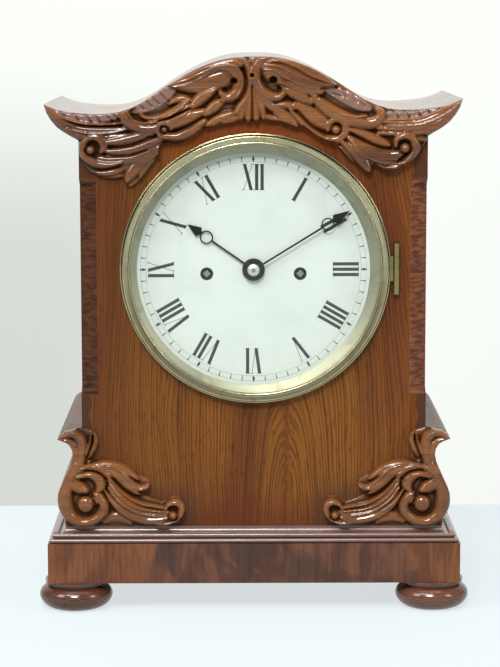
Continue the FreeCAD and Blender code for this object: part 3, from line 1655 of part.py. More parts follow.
def nodes():
    """Every named piece of the clock."""
    pieces = {name: foot(x, y) for name, (x, y) in foot_places().items()}
    pieces.update({
        "plinth": plinth(),
        "plinth_moulding": plinth_moulding(),
        "case_floor": case_floor(),
        "front_panel": front_panel(),
        "left_side": case_side(-1),
        "right_side": case_side(1),
        "left_console": console(-1),
        "right_console": console(1),
        "left_corner_scroll": corner_scroll(-1),
        "right_corner_scroll": corner_scroll(1),
        "roof": roof(),
        "cresting": cresting(),
        "back_frame": back_frame(),
        "back_door_frame": back_door_frame(),
        "back_door_glass": back_door_glass(),
        "door_hinge_fixed_halves": door_hinge_halves(1),
        "door_hinge_moving_halves": door_hinge_halves(-1),
        "back_door_turn": back_door_turn(),
        "bezel": bezel(),
        "bezel_glass": bezel_glass(),
        "bezel_hinge_case_leaf": bezel_hinge_case_leaf(),
        "bezel_hinge_ring_leaf": bezel_hinge_ring_leaf(),
        "bezel_hinge_pin": bezel_hinge_pin(),
        "sight_ring": sight_ring(),
        "dial_plate": dial_plate(),
        "dial_feet": dial_feet(),
        "hour_hand": hour_hand(),
        "minute_hand": minute_hand(),
        "hand_collet": hand_collet(),
        "front_plate": front_plate(),
        "back_plate": back_plate(),
        "pillars": pillars(),
        "seat_board": seat_board(),
        "seat_cleats": seat_cleats(),
        "centre_wheel": centre_wheel(),
        "cannon_wheel": cannon_wheel(),
        "minute_wheel": minute_wheel(),
        "hour_wheel": hour_wheel(),
        "going_fusee": fusee(great_teeth, great_module, centre_place, going_fusee_place),
        "striking_fusee": fusee(
            strike_great_teeth, strike_great_module, pin_place, strike_fusee_place),
        "going_barrel": barrel(going_barrel_place),
        "striking_barrel": barrel(strike_barrel_place),
        "fusee_lines": fusee_lines(),
        "third_wheel": third_wheel(),
        "escape_wheel": escape_wheel(),
        "pallets": pallets(),
        "back_cock": back_cock(),
        "pendulum_rod": pendulum_rod(),
        "pendulum_bob": pendulum_bob(),
        "rating_nut": rating_nut(),
        "pin_wheel": pin_wheel(),
        "locking_wheel": locking_wheel(),
        "fly": fly(),
        "hammer": hammer(),
        "bell": bell(),
        "bell_stand": bell_stand(),
    })
    return pieces


def main():
    os.makedirs("parts", exist_ok=True)
    for name, shape in nodes().items():
        shape.exportStep(os.path.join("parts", name + ".step"))
        box = shape.BoundBox
        print(
            f"{name}: {len(shape.Solids)} solid(s), volume {shape.Volume:.0f},",
            f"x {box.XMin:.1f} to {box.XMax:.1f}, y {box.YMin:.1f} to {box.YMax:.1f},",
            f"z {box.ZMin:.1f} to {box.ZMax:.1f}, valid {shape.isValid()}",
        )
    for name, place in {
        "third": third_place, "escape": escape_place, "pallets": pallet_place, "pin": pin_place,
        "locking": locking_place, "fly": fly_place, "hammer": hammer_place,
    }.items():
        print(name, "arbor at", round(place[0], 3), round(dial_height + place[1], 3))


main()
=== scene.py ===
# %% [markdown]
# # A bracket clock
#
# A rosewood bracket clock of about 1840 with a carved cresting, an eight-inch painted dial and a
# two-train movement. The frame comes from the CAD model: its pieces are already in place. This
# script gives them their looks and adds the carving.

# %% Load the frame
import math

import bpy
import bmesh
import numpy as np
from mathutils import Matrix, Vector


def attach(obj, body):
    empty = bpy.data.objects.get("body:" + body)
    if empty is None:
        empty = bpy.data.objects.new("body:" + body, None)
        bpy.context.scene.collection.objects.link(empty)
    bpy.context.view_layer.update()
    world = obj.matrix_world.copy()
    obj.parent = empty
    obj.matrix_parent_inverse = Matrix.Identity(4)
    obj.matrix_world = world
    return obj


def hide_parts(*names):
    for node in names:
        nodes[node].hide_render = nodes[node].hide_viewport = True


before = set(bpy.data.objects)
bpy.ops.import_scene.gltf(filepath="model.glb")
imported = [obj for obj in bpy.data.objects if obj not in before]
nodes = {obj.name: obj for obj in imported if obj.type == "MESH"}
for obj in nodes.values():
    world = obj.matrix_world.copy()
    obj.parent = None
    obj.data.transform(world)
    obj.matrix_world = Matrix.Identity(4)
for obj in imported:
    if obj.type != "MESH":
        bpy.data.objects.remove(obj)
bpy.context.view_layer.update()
print("pieces from the frame:", len(nodes))

# %% [markdown]
# ## Where the camera stands
#
# The clock was looked at from the front, a little above its top and 2 m away, with a long lens.
# The picture is upright, so the sensor's long side is its height.

# %% The camera
MM = 0.001
LENS, SENSOR_HIGH, FARTHEST = 123.67, 36, 50
CAMERA_PLACE = (-12.34, -1969.56, 494.12)
CAMERA_TURN = (90 - 8.0, 0.1, -0.3)


def set_camera():
    """A long lens in front of the clock, tipped down a little."""
    data = bpy.data.cameras.new("camera")
    data.sensor_fit = "VERTICAL"
    data.sensor_height = SENSOR_HIGH
    data.lens = LENS
    data.clip_end = FARTHEST
    camera = bpy.data.objects.new("camera", data)
    camera.location = [c * MM for c in CAMERA_PLACE]
    camera.rotation_euler = [math.radians(a) for a in CAMERA_TURN]
    bpy.context.collection.objects.link(camera)
    bpy.context.scene.camera = camera


set_camera()
print("lens", LENS, "mm")

# %% [markdown]
# ## Expressions for shaders
#
# A finish is a chain of small sums on positions and noises. A wire stands for one output of a
# node, so a sum of wires reads as plain arithmetic and makes its own math nodes.

# %% Wires and finishes
class Wire:
    """One output of a shader node."""

    def __init__(self, finish, socket):
        self.finish = finish
        self.socket = socket

    def calc(self, operation, *others):
        node = self.finish.tree.nodes.new("ShaderNodeMath")
        node.operation = operation
        for place, value in zip(node.inputs, (self, *others)):
            self.finish.join(value, place)
        return Wire(self.finish, node.outputs[0])

    def __add__(self, other):
        return self.calc("ADD", other)

    def __sub__(self, other):
        return self.calc("SUBTRACT", other)

    def __mul__(self, other):
        return self.calc("MULTIPLY", other)

    def __pow__(self, other):
        return self.calc("POWER", other)

    def __radd__(self, other):
        return self * 1 + other

    def __rmul__(self, other):
        return self * other

    def __rsub__(self, other):
        return self * -1 + other

    def between(self, low, high):
        """0 up to low, 1 from high on and smooth between them; low may be the larger."""
        return self.finish.node("ShaderNodeMapRange", {"interpolation_type": "SMOOTHSTEP"}, {
            "Value": self, "From Min": low, "From Max": high}, "Result")


class Finish:
    """A material that is put together from wires."""

    def __init__(self, name):
        self.material = bpy.data.materials.new(name)
        self.material.use_nodes = True
        self.tree = self.material.node_tree
        self.tree.nodes.clear()
        self.surface = self.tree.nodes.new("ShaderNodeBsdfPrincipled")
        self.end = self.tree.nodes.new("ShaderNodeOutputMaterial")
        self.tree.links.new(self.surface.outputs[0], self.end.inputs[0])
        self.place = self.node("ShaderNodeTexCoord", out="Object")

    def join(self, value, socket):
        """Links a wire to a socket, or sets the socket to a constant."""
        if isinstance(value, Wire):
            self.tree.links.new(value.socket, socket)
        elif isinstance(value, (tuple, list)) and len(socket.default_value) > len(value):
            socket.default_value = (*value, 1)
        else:
            socket.default_value = value

    def node(self, kind, settings=None, sockets=None, out=0):
        """Any node: its settings are set before its sockets."""
        node = self.tree.nodes.new(kind)
        for name, value in (settings or {}).items():
            setattr(node, name, value)
        for name, value in (sockets or {}).items():
            self.join(value, node.inputs[name])
        return Wire(self, node.outputs[out])

    def mix(self, share, one, other):
        """The colour one where share is 0, and the other where it's 1."""
        return self.node("ShaderNodeMix", {"data_type": "RGBA"}, {0: share, 6: one, 7: other}, 2)

    def layers(self, body, *layers):
        """A colour with a share of each layer's colour laid over it in turn."""
        for share, colour in layers:
            body = self.mix(share, body, colour)
        return body

    def stretched(self, scales, shift=(0, 0, 0), turn=(0, 0, 0)):
        """The place on the piece, turned first, then scaled along each axis."""
        turned = self.node("ShaderNodeMapping", sockets={"Vector": self.place, "Rotation": turn})
        return self.node("ShaderNodeMapping", sockets={"Vector": turned, "Scale": scales,
                                                       "Location": shift})

    def cloud(self, where, scale, detail=4, rough=0.55, swirl=0, out=0):
        """A soft noise from 0 to 1."""
        return self.node("ShaderNodeTexNoise", sockets={
            "Vector": where, "Scale": scale, "Detail": detail, "Roughness": rough,
            "Distortion": swirl}, out=out)

    def bent(self, where, drift, far):
        """A place that a drifting colour pushes to and fro."""
        return self.node("ShaderNodeVectorMath", {"operation": "MULTIPLY_ADD"},
                         {0: drift, 1: (far,) * 3, 2: where})

    def joined(self, **parts):
        """A place from coordinates by name."""
        return self.node("ShaderNodeCombineXYZ", sockets=parts)

    def parts(self, where):
        """The three coordinates of a place."""
        return [Wire(self, out) for out in self.node(
            "ShaderNodeSeparateXYZ", sockets={0: where}).socket.node.outputs]

    def mark(self, name):
        """A number that the mesh carries at each point."""
        return self.node("ShaderNodeAttribute", {"attribute_name": name}, out="Fac")

    def set(self, **values):
        """Sets sockets of the surface by name, with _ for a space."""
        for name, value in values.items():
            self.join(value, self.surface.inputs[name.replace("_", " ")])

    def relief(self, height, deep):
        """A fine relief under the polish; deep is in metres."""
        self.set(Normal=self.node("ShaderNodeBump", out="Normal", sockets={
            "Height": height, "Distance": deep, "Strength": 1.0}))


def tone(red, green, blue):
    """A linear colour from the usual 0 to 255 numbers."""
    return tuple(((c / 255 + 0.055) / 1.055) ** 2.4 if c > 10 else c / 255 / 12.92
                 for c in (red, green, blue))


def shade(colour, share):
    """A darker shade of a linear colour."""
    return tuple(c * share for c in colour)


print("a mid brown is", [round(c, 3) for c in tone(130, 80, 42)])

# %% [markdown]
# ## Rosewood
#
# The case is veneered in rosewood: golden brown to red-brown, with near-black lines a few
# millimetres apart that run with the grain and wander a little, and short open pores. Each board
# has its own grain direction, so the place on the piece is squeezed along the grain before any
# noise reads it. Where a board is cut near the heart of the tree its lines close into tall
# arches, and the distance from the heart takes the place of one coordinate there. A thin shellac
# polish lies on top: clear, smooth and with faint handling marks.

# %% Rosewood veneer
LINES_PER_METRE = 2350
HEART_DRIFT = 0.022
GRAIN_DRIFT = 0.012


def squeezed(grain, along):
    """Scales that draw a noise out along the grain."""
    return [along if axis == grain else 1 for axis in "xyz"]


def arched(made, heart):
    """The place on a board whose lines arch over the foot of its heart."""
    across, foot, spread, aside = heart
    drift = made.cloud(made.stretched(squeezed("z", 0.3)), 16, 2, 0.5, out="Color")
    x, y, z = made.parts(made.bent(made.place, drift, HEART_DRIFT))
    x = (y if aside else x) - HEART_DRIFT / 2 - across
    rise = (z - HEART_DRIFT / 2 - foot).calc("MAXIMUM", 0) * spread
    away = (x * x + rise * rise) ** 0.5
    return made.joined(X=away, Y=x.between(-0.004, 0.004) * 0.05, Z=z)


def grain_of(made, grain, turn, wander, shift, heart=None):
    """The wood's broad figure, its streaks, its lines and its pores, each from 0 to 1."""
    if heart:
        made.place = arched(made, heart)
    slow = made.stretched(squeezed(grain, 0.18), shift, turn)
    broad = made.cloud(slow, 14, 2, 0.5, 0.5 * wander)
    drift = made.cloud(slow, 13, 1, 0.5, out="Color")
    bent = made.bent(made.stretched(squeezed(grain, 0.012), shift, turn), drift,
                     GRAIN_DRIFT * wander)
    streaks = made.cloud(bent, 120, 2, 0.6, 0.2)
    fine = made.cloud(bent, 900, 2, 0.6)
    x, y, z = made.parts(bent)
    across = y * 0.7 + z if grain == "x" else x
    rings = (across * LINES_PER_METRE + streaks * 18 + fine * 3.2).calc("SINE")
    lines = (rings * 0.16 + fine * 0.75).between(0.30, 0.62)
    pores = made.cloud(made.stretched(squeezed(grain, 0.09), (3, 1, 7), turn), 950, 3, 0.6)
    return broad, streaks, lines, pores.between(0.54, 0.68)


def rosewood(name, light, middle, dark, grain="z", turn=(0, 0, 0), wander=1.0, lined=0.75,
             gloss=0.12, shift=(0, 0, 0), banding=None, coat=0.7, heart=None, sheen=0.05):
    """Polished rosewood with its grain along one axis."""
    made = Finish(name)
    spot = made.place
    broad, streaks, lines, pores = grain_of(made, grain, turn, wander, shift, heart)
    made.place = spot
    body = made.layers(middle, (broad.between(0.36, 0.64), light),
                       (streaks.between(0.48, 0.72) * lined * 0.5, dark),
                       (lines * lined, dark), (pores * 0.5, shade(dark, 0.5)))
    if banding:
        body = banding(made, body)
    smear = made.cloud(made.place, 22, 4, 0.65, 0.8).between(0.4, 0.8)
    made.set(Base_Color=body, Roughness=0.5 + smear * 0.1, Specular_IOR_Level=sheen,
             Coat_Weight=coat * (1 - smear * 0.2), Coat_Roughness=gloss)
    made.relief(lines * 0.4 - pores, 0.00004)
    return made.material


# %% [markdown]
# The front is one sheet of straight-grained veneer with a tall arch below the dial, redder towards
# its edges and darker to the left. It is painted darker towards its edges and its foot, partly the
# wood's own colour and partly painted shade by the moulding and beside the corner scrolls, and
# painted shade darkens it above each strip, under the cresting. Down each side of it runs a strip
# of dark veneer laid across the grain. The plinth's front is three sheets with slanting joints: a
# clouded dark one between two plain ones. Nothing stands proud, because all of the veneer was
# scraped flat before the polish.

# %% The veneered pieces
STRIP_INSIDE = (0.1285, 0.1291)
STRIP_FOOT, STRIP_HEAD = (0.180, 0.1805), (0.3592, 0.3585)
BELOW_STRIP = {"inside": (0.1352, 0.1356), "foot": (0.148, 0.150), "head": (0.1805, 0.180)}
ABOVE_STRIP = {"inside": (0.1310, 0.1318), "foot": (0.3590, 0.3595)}
JOINT_FOOT = 0.040
LEFT_JOINT, RIGHT_JOINT = (-0.0852, -0.0844), (0.1316, 0.1308)
LEFT_SLANT, RIGHT_SLANT = 0.35, 0.45


def front_sheet(made, body):
    """Paints shade on the front's sheet towards its edges, its foot and the corner scrolls, and
    lays the strips at its sides.
    """
    x, y, z = made.parts(made.place)
    edge = (x * x) ** 0.5
    # Painted shade: the sheet darkens towards its edges, by the moulding at its foot and beside the
    # corner scrolls.
    shade_by_scrolls = edge.between(0.030, 0.070) * z.between(0.120, 0.085)
    body = made.layers(body, (edge.between(0.085, 0.130) * 0.35, tone(84, 38, 18)),
                       (x.between(-0.030, -0.120) * 0.35, tone(58, 32, 18)),
                       (z.between(0.105, 0.070) * 0.5, tone(80, 32, 18)),
                       (z.between(0.350, 0.400) * 0.5, tone(118, 54, 22)),
                       (shade_by_scrolls * 0.5, tone(52, 38, 32)))
    strip = edge.between(*STRIP_INSIDE) * z.between(*STRIP_FOOT) * z.between(*STRIP_HEAD)
    scrolled = (z * 300).calc("SINE") * 0.0012 + edge
    lower = scrolled.between(*BELOW_STRIP["inside"]) * z.between(*BELOW_STRIP["foot"])
    lower = lower * z.between(*BELOW_STRIP["head"])
    # Painted shade above each strip, under the cresting.
    upper = edge.between(*ABOVE_STRIP["inside"]) * z.between(*ABOVE_STRIP["foot"])
    across = made.cloud(made.stretched((0.25, 1, 2.2), (5, 0, 0)), 170, 3, 0.6)
    dark_side = made.mix(across.between(0.30, 0.75), tone(76, 44, 26), tone(36, 21, 14))
    light_side = made.mix(across.between(0.35, 0.62), tone(116, 68, 44), tone(74, 44, 32))
    banded = made.mix(x.between(-0.01, 0.01), dark_side, light_side)
    return made.layers(body, (lower * 0.75, tone(52, 34, 26)), (upper * 0.7, tone(50, 36, 27)),
                       (strip, banded))


def plinth_sheets(made, body):
    """The clouded sheet between the plinth's two slanting joints, and the two plain ones."""
    x, y, z = made.parts(made.place)
    slanted = made.stretched((0.7, 1, 0.45), (4, 4, 1), (0, 0.7, 0))
    clouds = made.cloud(slanted, 46, 4, 0.6, 0.9).between(0.42, 0.62)
    fibres = made.cloud(made.stretched((1, 1, 0.06)), 420, 3, 0.6).between(0.42, 0.70)
    uneven = made.cloud(made.stretched((1, 1, 0.3), (2, 2, 5)), 60, 4, 0.6, 0.6)
    clouded = made.layers(tone(92, 58, 41), (uneven.between(0.40, 0.62), tone(70, 42, 30)),
                          (clouds * 0.75, tone(54, 38, 31)), (fibres * 0.3, tone(36, 22, 16)))
    plain = made.layers(tone(106, 64, 38), (uneven.between(0.38, 0.64), tone(84, 48, 28)),
                        (fibres * 0.45, tone(58, 32, 20)))
    wavy = (made.cloud(made.place, 240, 2, 0.5) - 0.5) * 0.003
    left = (x - (z - JOINT_FOOT) * LEFT_SLANT + wavy).between(*LEFT_JOINT)
    right = (x + (z - JOINT_FOOT) * RIGHT_SLANT + wavy).between(*RIGHT_JOINT)
    return made.mix(left * right, plain, clouded)


front_veneer = rosewood(
    "front_veneer", tone(112, 68, 24), tone(90, 49, 20), tone(42, 22, 11), wander=1.2, lined=0.6,
    banding=front_sheet, coat=0.15, heart=(0.028, 0.095, 0.24, False), sheen=0.03)
side_veneer = rosewood(
    "side_veneer", tone(96, 54, 26), tone(72, 37, 18), tone(34, 16, 9), wander=1.6,
    shift=(2, 1, 4), heart=(0.03, 0.05, 0.2, True), coat=0.35)
plinth_veneer = rosewood(
    "plinth_veneer", tone(94, 60, 38), tone(76, 46, 28), tone(38, 24, 17), "x", (0, 0.7, 0), 2.6,
    0.35, shift=(1, 5, 2), banding=plinth_sheets, coat=0.4)
moulding_wood = rosewood(
    "moulding_wood", tone(108, 66, 50), tone(84, 50, 38), tone(44, 26, 20), "x", lined=0.4,
    shift=(4, 2, 1), gloss=0.2, coat=1.0, sheen=0.7)
roof_wood = rosewood(
    "roof_wood", tone(122, 70, 44), tone(92, 48, 28), tone(48, 22, 13), "y", lined=0.5,
    gloss=0.16, shift=(7, 3, 1), coat=1.0)
foot_wood = rosewood(
    "foot_wood", tone(96, 56, 38), tone(70, 40, 27), tone(32, 17, 12), "x", lined=0.5,
    gloss=0.14, shift=(3, 3, 3), coat=1.0)
print("rosewood finishes:", 6)

# %% [markdown]
# The carving is cut from the solid and polished by hand, so its crowns are bright and worn to a
# lighter brown, while its hollows are painted dark: old polish and dust, and painted shade deep
# between the forms. The flat bands between the leaves are matted with small cuts and look greyer.
# Each carved mesh carries two marks at every point: how hollow it is there, and whether it is
# matted.

# %% Carved rosewood
def carved_rosewood(name, light, middle, dark, shift):
    """Hand-polished carving, dark in its hollows with dust and painted shade, and bright on its
    crowns.
    """
    made = Finish(name)
    broad, streaks, lines, pores = grain_of(made, "x", (0, 0, 0), 1.6, shift)
    hollow = made.mark("hollow")
    # Painted shade and dust: the deepest hollows turn dark and lose their polish.
    inside = hollow.between(-0.1, -1.9)
    body = made.layers(middle, (broad.between(0.35, 0.68), light),
                       (streaks.between(0.46, 0.68) * 0.35, dark), (lines * 0.3, dark),
                       (pores * 0.4, shade(dark, 0.4)), (hollow.between(0.2, 1.6) * 0.4, light),
                       (made.mark("matted").between(0.3, 0.8) * 0.6, tone(110, 90, 84)),
                       (inside * 0.8, shade(dark, 0.22)))
    made.set(Base_Color=body, Roughness=0.45 + inside * 0.3, Specular_IOR_Level=0.05,
             Coat_Weight=1.0 - inside * 0.85, Coat_Roughness=0.085, Coat_IOR=1.45)
    gouged = made.cloud(made.place, 150, 2, 0.5)
    made.relief(gouged + lines * 0.06 - pores * 0.05, 0.0005)
    return made.material


carved_wood = carved_rosewood("carved_wood", tone(116, 70, 32), tone(78, 44, 22),
                              tone(36, 19, 11), (6, 1, 2))
print("carved finish:", carved_wood.name)

# %% [markdown]
# ## Plain inner woods
#
# The carcase behind the veneer, the seat board and the door's frame are stained mahogany and
# oiled softwood, with a matt surface, straight grain and a few darker lines.

# %% Plain woods
def plain_wood(name, light, dark, grain="z", dull=0.6):
    """Matt wood with straight grain."""
    made = Finish(name)
    scales = squeezed(grain, 0.05)
    bands = made.cloud(made.stretched(scales), 160, 4, 0.6, 0.4)
    fibre = made.cloud(made.stretched(scales, (2, 2, 2)), 900, 3, 0.7)
    body = made.layers(light, (bands.between(0.35, 0.7), dark),
                       (fibre.between(0.5, 0.8) * 0.4, shade(dark, 0.5)))
    made.set(Base_Color=body, Roughness=dull + fibre * 0.15, Coat_Weight=0.1)
    made.relief(fibre, 0.00008)
    return made.material


back_wood = plain_wood("back_wood", tone(126, 74, 42), tone(84, 44, 26), dull=0.42)
carcase_wood = plain_wood("carcase_wood", tone(150, 104, 66), tone(112, 70, 42), "x")
print("plain woods:", back_wood.name, carcase_wood.name)

# %% [markdown]
# ## Metals
#
# The bezel is old lacquered brass: pale, a little green in its hollows, with fine turning lines
# that run round it. Its hinge is browner, because no polish reaches it. The movement's brass is
# cleaner. The hands are blued so dark that they look black. The sight ring is silvered brass,
# gone grey. A wheel's steel arbor ends in a bright square, with painted shade on the round neck
# around it.

# %% Metals
SQUARE_HALF = (0.0031, 0.0033)


def metal(name, colour, dull, stain, stained=0.35, turned=None, rough=0.3, lines=2600,
          arbor=None, marked=1.0):
    """Worked metal with stains, turning lines round a centre, and a steel arbor if it has one."""
    made = Finish(name)
    patches = made.cloud(made.place, 60, 5, 0.65, 0.7)
    specks = made.cloud(made.place, 900, 3, 0.7)
    blots = patches.between(0.45, 0.75)
    body = made.layers(colour, (blots * stained, stain),
                       (specks.between(0.62, 0.8) * 0.35, shade(stain, 0.6)))
    if turned:
        offset = made.node("ShaderNodeVectorMath", {"operation": "SUBTRACT"},
                           {0: made.place, 1: shade(turned, MM)})
        x, y, z = made.parts(offset)
        radius = (x * x + z * z) ** 0.5
        height, deep = made.cloud(made.joined(X=radius, Y=y), lines, 2, 0.6), 0.00003
    else:
        height, deep = made.cloud(made.stretched((1, 1, 0.12)), 1400, 3, 0.6), 0.00002
    if arbor:
        # Painted shade round the square: the arbor's round neck, deeper in the hole, is darkened.
        square = x.calc("ABSOLUTE") + z.calc("ABSOLUTE")
        steely = made.layers(tone(168, 170, 174), (blots * 0.3, tone(104, 98, 92)),
                             (square.between(*SQUARE_HALF), tone(58, 58, 60)))
        body = made.mix(radius.between(arbor, arbor - 0.0001), body, steely)
    made.set(Base_Color=body, Metallic=1.0, Roughness=rough + patches * dull)
    made.relief(height + specks * 0.3, deep * marked)
    return made.material


BEZEL_CENTRE = (1.5, 0, 284.7)
DIAL_CENTRE = (0, 0, 283.2)
BRASS, BRASS_STAIN = tone(214, 184, 116), tone(150, 120, 64)
bezel_brass = metal("bezel_brass", tone(172, 164, 130), 0.14, tone(116, 106, 72), 0.6,
                    BEZEL_CENTRE, rough=0.13)
hinge_brass = metal("hinge_brass", tone(150, 138, 94), 0.1, tone(92, 84, 50), 0.7, rough=0.18)
movement_brass = metal("movement_brass", BRASS, 0.04, BRASS_STAIN, 0.15, rough=0.27, marked=0.2)
silver_ring = metal("silver_ring", tone(170, 167, 143), 0.15, tone(134, 131, 107), 0.5,
                    DIAL_CENTRE, rough=0.42)
steel = metal("steel", tone(176, 178, 182), 0.15, tone(110, 104, 98), 0.3, rough=0.2)
collet_silver = metal("collet_silver", tone(232, 228, 212), 0.1, tone(150, 146, 130), 0.3,
                      DIAL_CENTRE, rough=0.36)
dark_steel = metal("dark_steel", tone(34, 33, 36), 0.15, tone(20, 18, 18), 0.3)
bell_metal = metal("bell_metal", tone(196, 168, 112), 0.16, tone(118, 96, 58), 0.4, rough=0.26)
print("metals:", 8)

# %% [markdown]
# ## Dial paint, glass and gut
#
# The dial is white paint on iron, a little green with age, with faint crazing, dull patches and
# tiny dark specks. Its black paint is a little thin and grey where it has worn. The glass is
# thin and clear, and mirrors more and more towards a glancing look, the same on both faces. The
# lines are gut, waxy and yellow-brown.

# %% Paint, glass and gut
GLASS_TINT = (0.955, 0.968, 0.955)
MIRRORED, MIRRORED_MORE = 0.028, 0.8


def painted_white(name):
    made = Finish(name)
    age = made.cloud(made.place, 26, 5, 0.6, 0.5)
    cracks = made.node("ShaderNodeTexVoronoi", {"feature": "DISTANCE_TO_EDGE"},
                       {"Vector": made.place, "Scale": 260, "Randomness": 1.0})
    specks = made.cloud(made.place, 1500, 2, 0.5).between(0.76, 0.80)
    body = made.layers(tone(201, 205, 200), (age.between(0.4, 0.75), tone(192, 196, 191)),
                       (cracks.between(0.035, 0.005) * 0.05, tone(150, 150, 130)),
                       (specks * 0.5, tone(120, 112, 92)))
    made.set(Base_Color=body, Roughness=0.42 + age * 0.1, Coat_Weight=0.15)
    made.relief(cracks.between(0.03, 0.0), 0.00001)
    return made.material


def painted_black(name):
    made = Finish(name)
    worn = made.cloud(made.place, 700, 3, 0.6)
    made.set(Base_Color=made.mix(worn.between(0.45, 0.8), tone(24, 26, 25), tone(58, 60, 56)),
             Roughness=0.45 + worn * 0.2)
    made.relief(worn, 0.00001)
    return made.material


def clear_glass(name):
    """A pane without a principled surface: it lets light through, with a mirror over it."""
    made = Finish(name)
    waves = made.cloud(made.place, 14, 2)
    dust = made.cloud(made.place, 1800, 3, 0.7).between(0.66, 0.8)
    sheer = made.node("ShaderNodeBsdfTransparent", sockets={"Color": GLASS_TINT})
    gloss = made.node("ShaderNodeBsdfGlossy", sockets={"Roughness": 0.02 + dust * 0.2})
    glancing = made.node("ShaderNodeLayerWeight", sockets={"Blend": 0.5}, out="Facing") ** 5
    mirror = glancing * MIRRORED_MORE + waves * 0.01 + MIRRORED
    pane = made.node("ShaderNodeMixShader", sockets={0: mirror, 1: sheer, 2: gloss})
    made.join(pane, made.end.inputs[0])
    made.tree.nodes.remove(made.surface)
    return made.material


def gut(name):
    made = Finish(name)
    twist = made.cloud(made.stretched((1, 1, 4)), 700, 3, 0.6)
    made.set(Base_Color=made.mix(twist, tone(196, 164, 104), tone(134, 98, 52)),
             Roughness=0.45 + twist * 0.2)
    made.relief(twist, 0.0001)
    return made.material


dial_paint = painted_white("dial_paint")
glass = clear_glass("glass")
gut_line = gut("gut_line")
black_paint_and_hole_shade = painted_black("black_paint_and_hole_shade")
print("other finishes:", dial_paint.name, glass.name, gut_line.name, black_paint_and_hole_shade.name)

# %% [markdown]
# ## Meshes from plain numbers
#
# Every piece of this script is a list of points in millimetres, in the clock's own frame, and a
# list of faces. One function turns them into an object and lets it ride on its body.

# %% Make a piece
def make_piece(name, points, faces, body, material, smooth=True, sharp=None):
    """An object from points in millimetres that moves with a body of the frame."""
    mesh = bpy.data.meshes.new(name)
    mesh.from_pydata((np.asarray(points, float) * MM).tolist(), [], faces)
    shaped = bmesh.new()
    shaped.from_mesh(mesh)
    bmesh.ops.recalc_face_normals(shaped, faces=shaped.faces)
    for face in shaped.faces:
        face.smooth = smooth
    if sharp is not None:
        for edge in shaped.edges:
            if edge.calc_face_angle(0) > sharp:
                edge.smooth = False
    shaped.to_mesh(mesh)
    shaped.free()
    made = bpy.data.objects.new(name, mesh)
    made.data.materials.append(material)
    bpy.context.collection.objects.link(made)
    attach(made, body)
    return made


print("pieces are made in millimetres, 1 unit =", MM, "m")

# %% [markdown]
# ## Carving
#
# A carver draws the outline on a board, saws it out, sets the ground back and then works each
# leaf and scroll down from the top with gouges. Here the board is a fine grid of heights above
# the panel. Each stroke has a middle line and a width at each of its points, and raises the grid
# to its own rounded or hollow section, so a later, higher leaf lies over an earlier one.

# %% Lines and grids
GRID = 0.5
FRONT_FACE = -96.75
GROUND = 4.0


def smooth_line(points, spacing=0.5):
    """A smooth line through points that carry their half width as a third number."""
    p = np.array(points, float)
    p = np.vstack([2 * p[0] - p[1], p, 2 * p[-1] - p[-2]])
    out = []
    for a, b, c, d in zip(p, p[1:], p[2:], p[3:]):
        count = max(2, int(math.hypot(*(c - b)[:2]) / spacing))
        t = np.linspace(0, 1, count, endpoint=False)[:, None]
        out.append(0.5 * (2 * b + (c - a) * t + (2 * a - 5 * b + 4 * c - d) * t ** 2
                          + (3 * b - a - 3 * c + d) * t ** 3))
    return np.vstack(out + [p[-2:-1]])


def softened(heights, reach):
    """The heights blurred over a number of grid steps."""
    steps = range(-2 * reach, 2 * reach + 1)
    weights = [math.exp(-0.5 * (k / reach) ** 2) for k in steps]
    for axis in (0, 1):
        heights = sum(w * np.roll(heights, k, axis) for w, k in zip(weights, steps))
        heights = heights / sum(weights)
    return heights


def within(x, z, low, high):
    """Which places lie in the box between two corners."""
    return (x > low[0]) & (x < high[0]) & (z > low[1]) & (z < high[1])


print("grid step:", GRID, "mm")

# %% [markdown]
# A leaf has a full, rounded section and a ridge is a thin raised edge that catches the light. A
# ball is set in a narrow quirk, a hole is cut down into the ground, and a groove is one pass of a
# V tool that parts two forms. A flat band is left level, for the matting.

# %% Strokes
SECTIONS = {
    "leaf": lambda s: np.sqrt(np.clip(1 - s ** 2.2, 0, 1)),
    "ridge": lambda s: 0.6 + 0.4 * np.sqrt(1 - s * s),
    "flat": lambda s: np.minimum(1, (1 - s) * 3)}
BASE = 0.9 * GROUND
QUIRK_WIDE, QUIRK_HIGH = 1.22, GROUND + 2
THINNEST = 0.25
FAR = 9.0


def cut_round(x, z, heights, kind, top, middle):
    """A bead with a quirk round it, or a hole with steep sides down to its floor."""
    reach = np.hypot(x - middle[0], z - middle[1]) / middle[2]
    inside = reach < 1
    old, s = heights[inside], reach[inside]
    if kind == "ball":
        ring = (reach >= 1) & (reach < QUIRK_WIDE)
        heights[ring] = np.minimum(heights[ring], QUIRK_HIGH)
        heights[inside] = top * (0.55 + 0.45 * np.sqrt(1 - s ** 2))
    else:
        heights[inside] = np.minimum(old, top + (old - top) * s ** 4)


def nearest_on(line, x, z):
    """How far off the line each place is, in half widths."""
    best = np.full(x.shape, FAR)
    for px, pz, width in line:
        best = np.minimum(best, np.hypot(x - px, z - pz) / max(width, THINNEST))
    return best


def cut_stroke(x, z, heights, kind, top, points):
    """Raises the grid to one stroke, or cuts it down."""
    if kind in ("ball", "hole"):
        cut_round(x, z, heights, kind, top, points[0])
        return
    line = smooth_line(points)
    pad = line[:, 2].max() + 1
    near = within(x, z, line[:, :2].min(0) - pad, line[:, :2].max(0) + pad)
    reach = nearest_on(line, x[near], z[near])
    s = reach[reach < 1]
    place = np.flatnonzero(near)[reach < 1]
    flat = heights.reshape(-1)
    if kind == "groove":
        flat[place] = np.where(flat[place] > top, top + (flat[place] - top) * s ** 2, flat[place])
    else:
        flat[place] = np.maximum(flat[place], BASE + (top - BASE) * SECTIONS[kind](s))


print("sections:", ", ".join(SECTIONS))

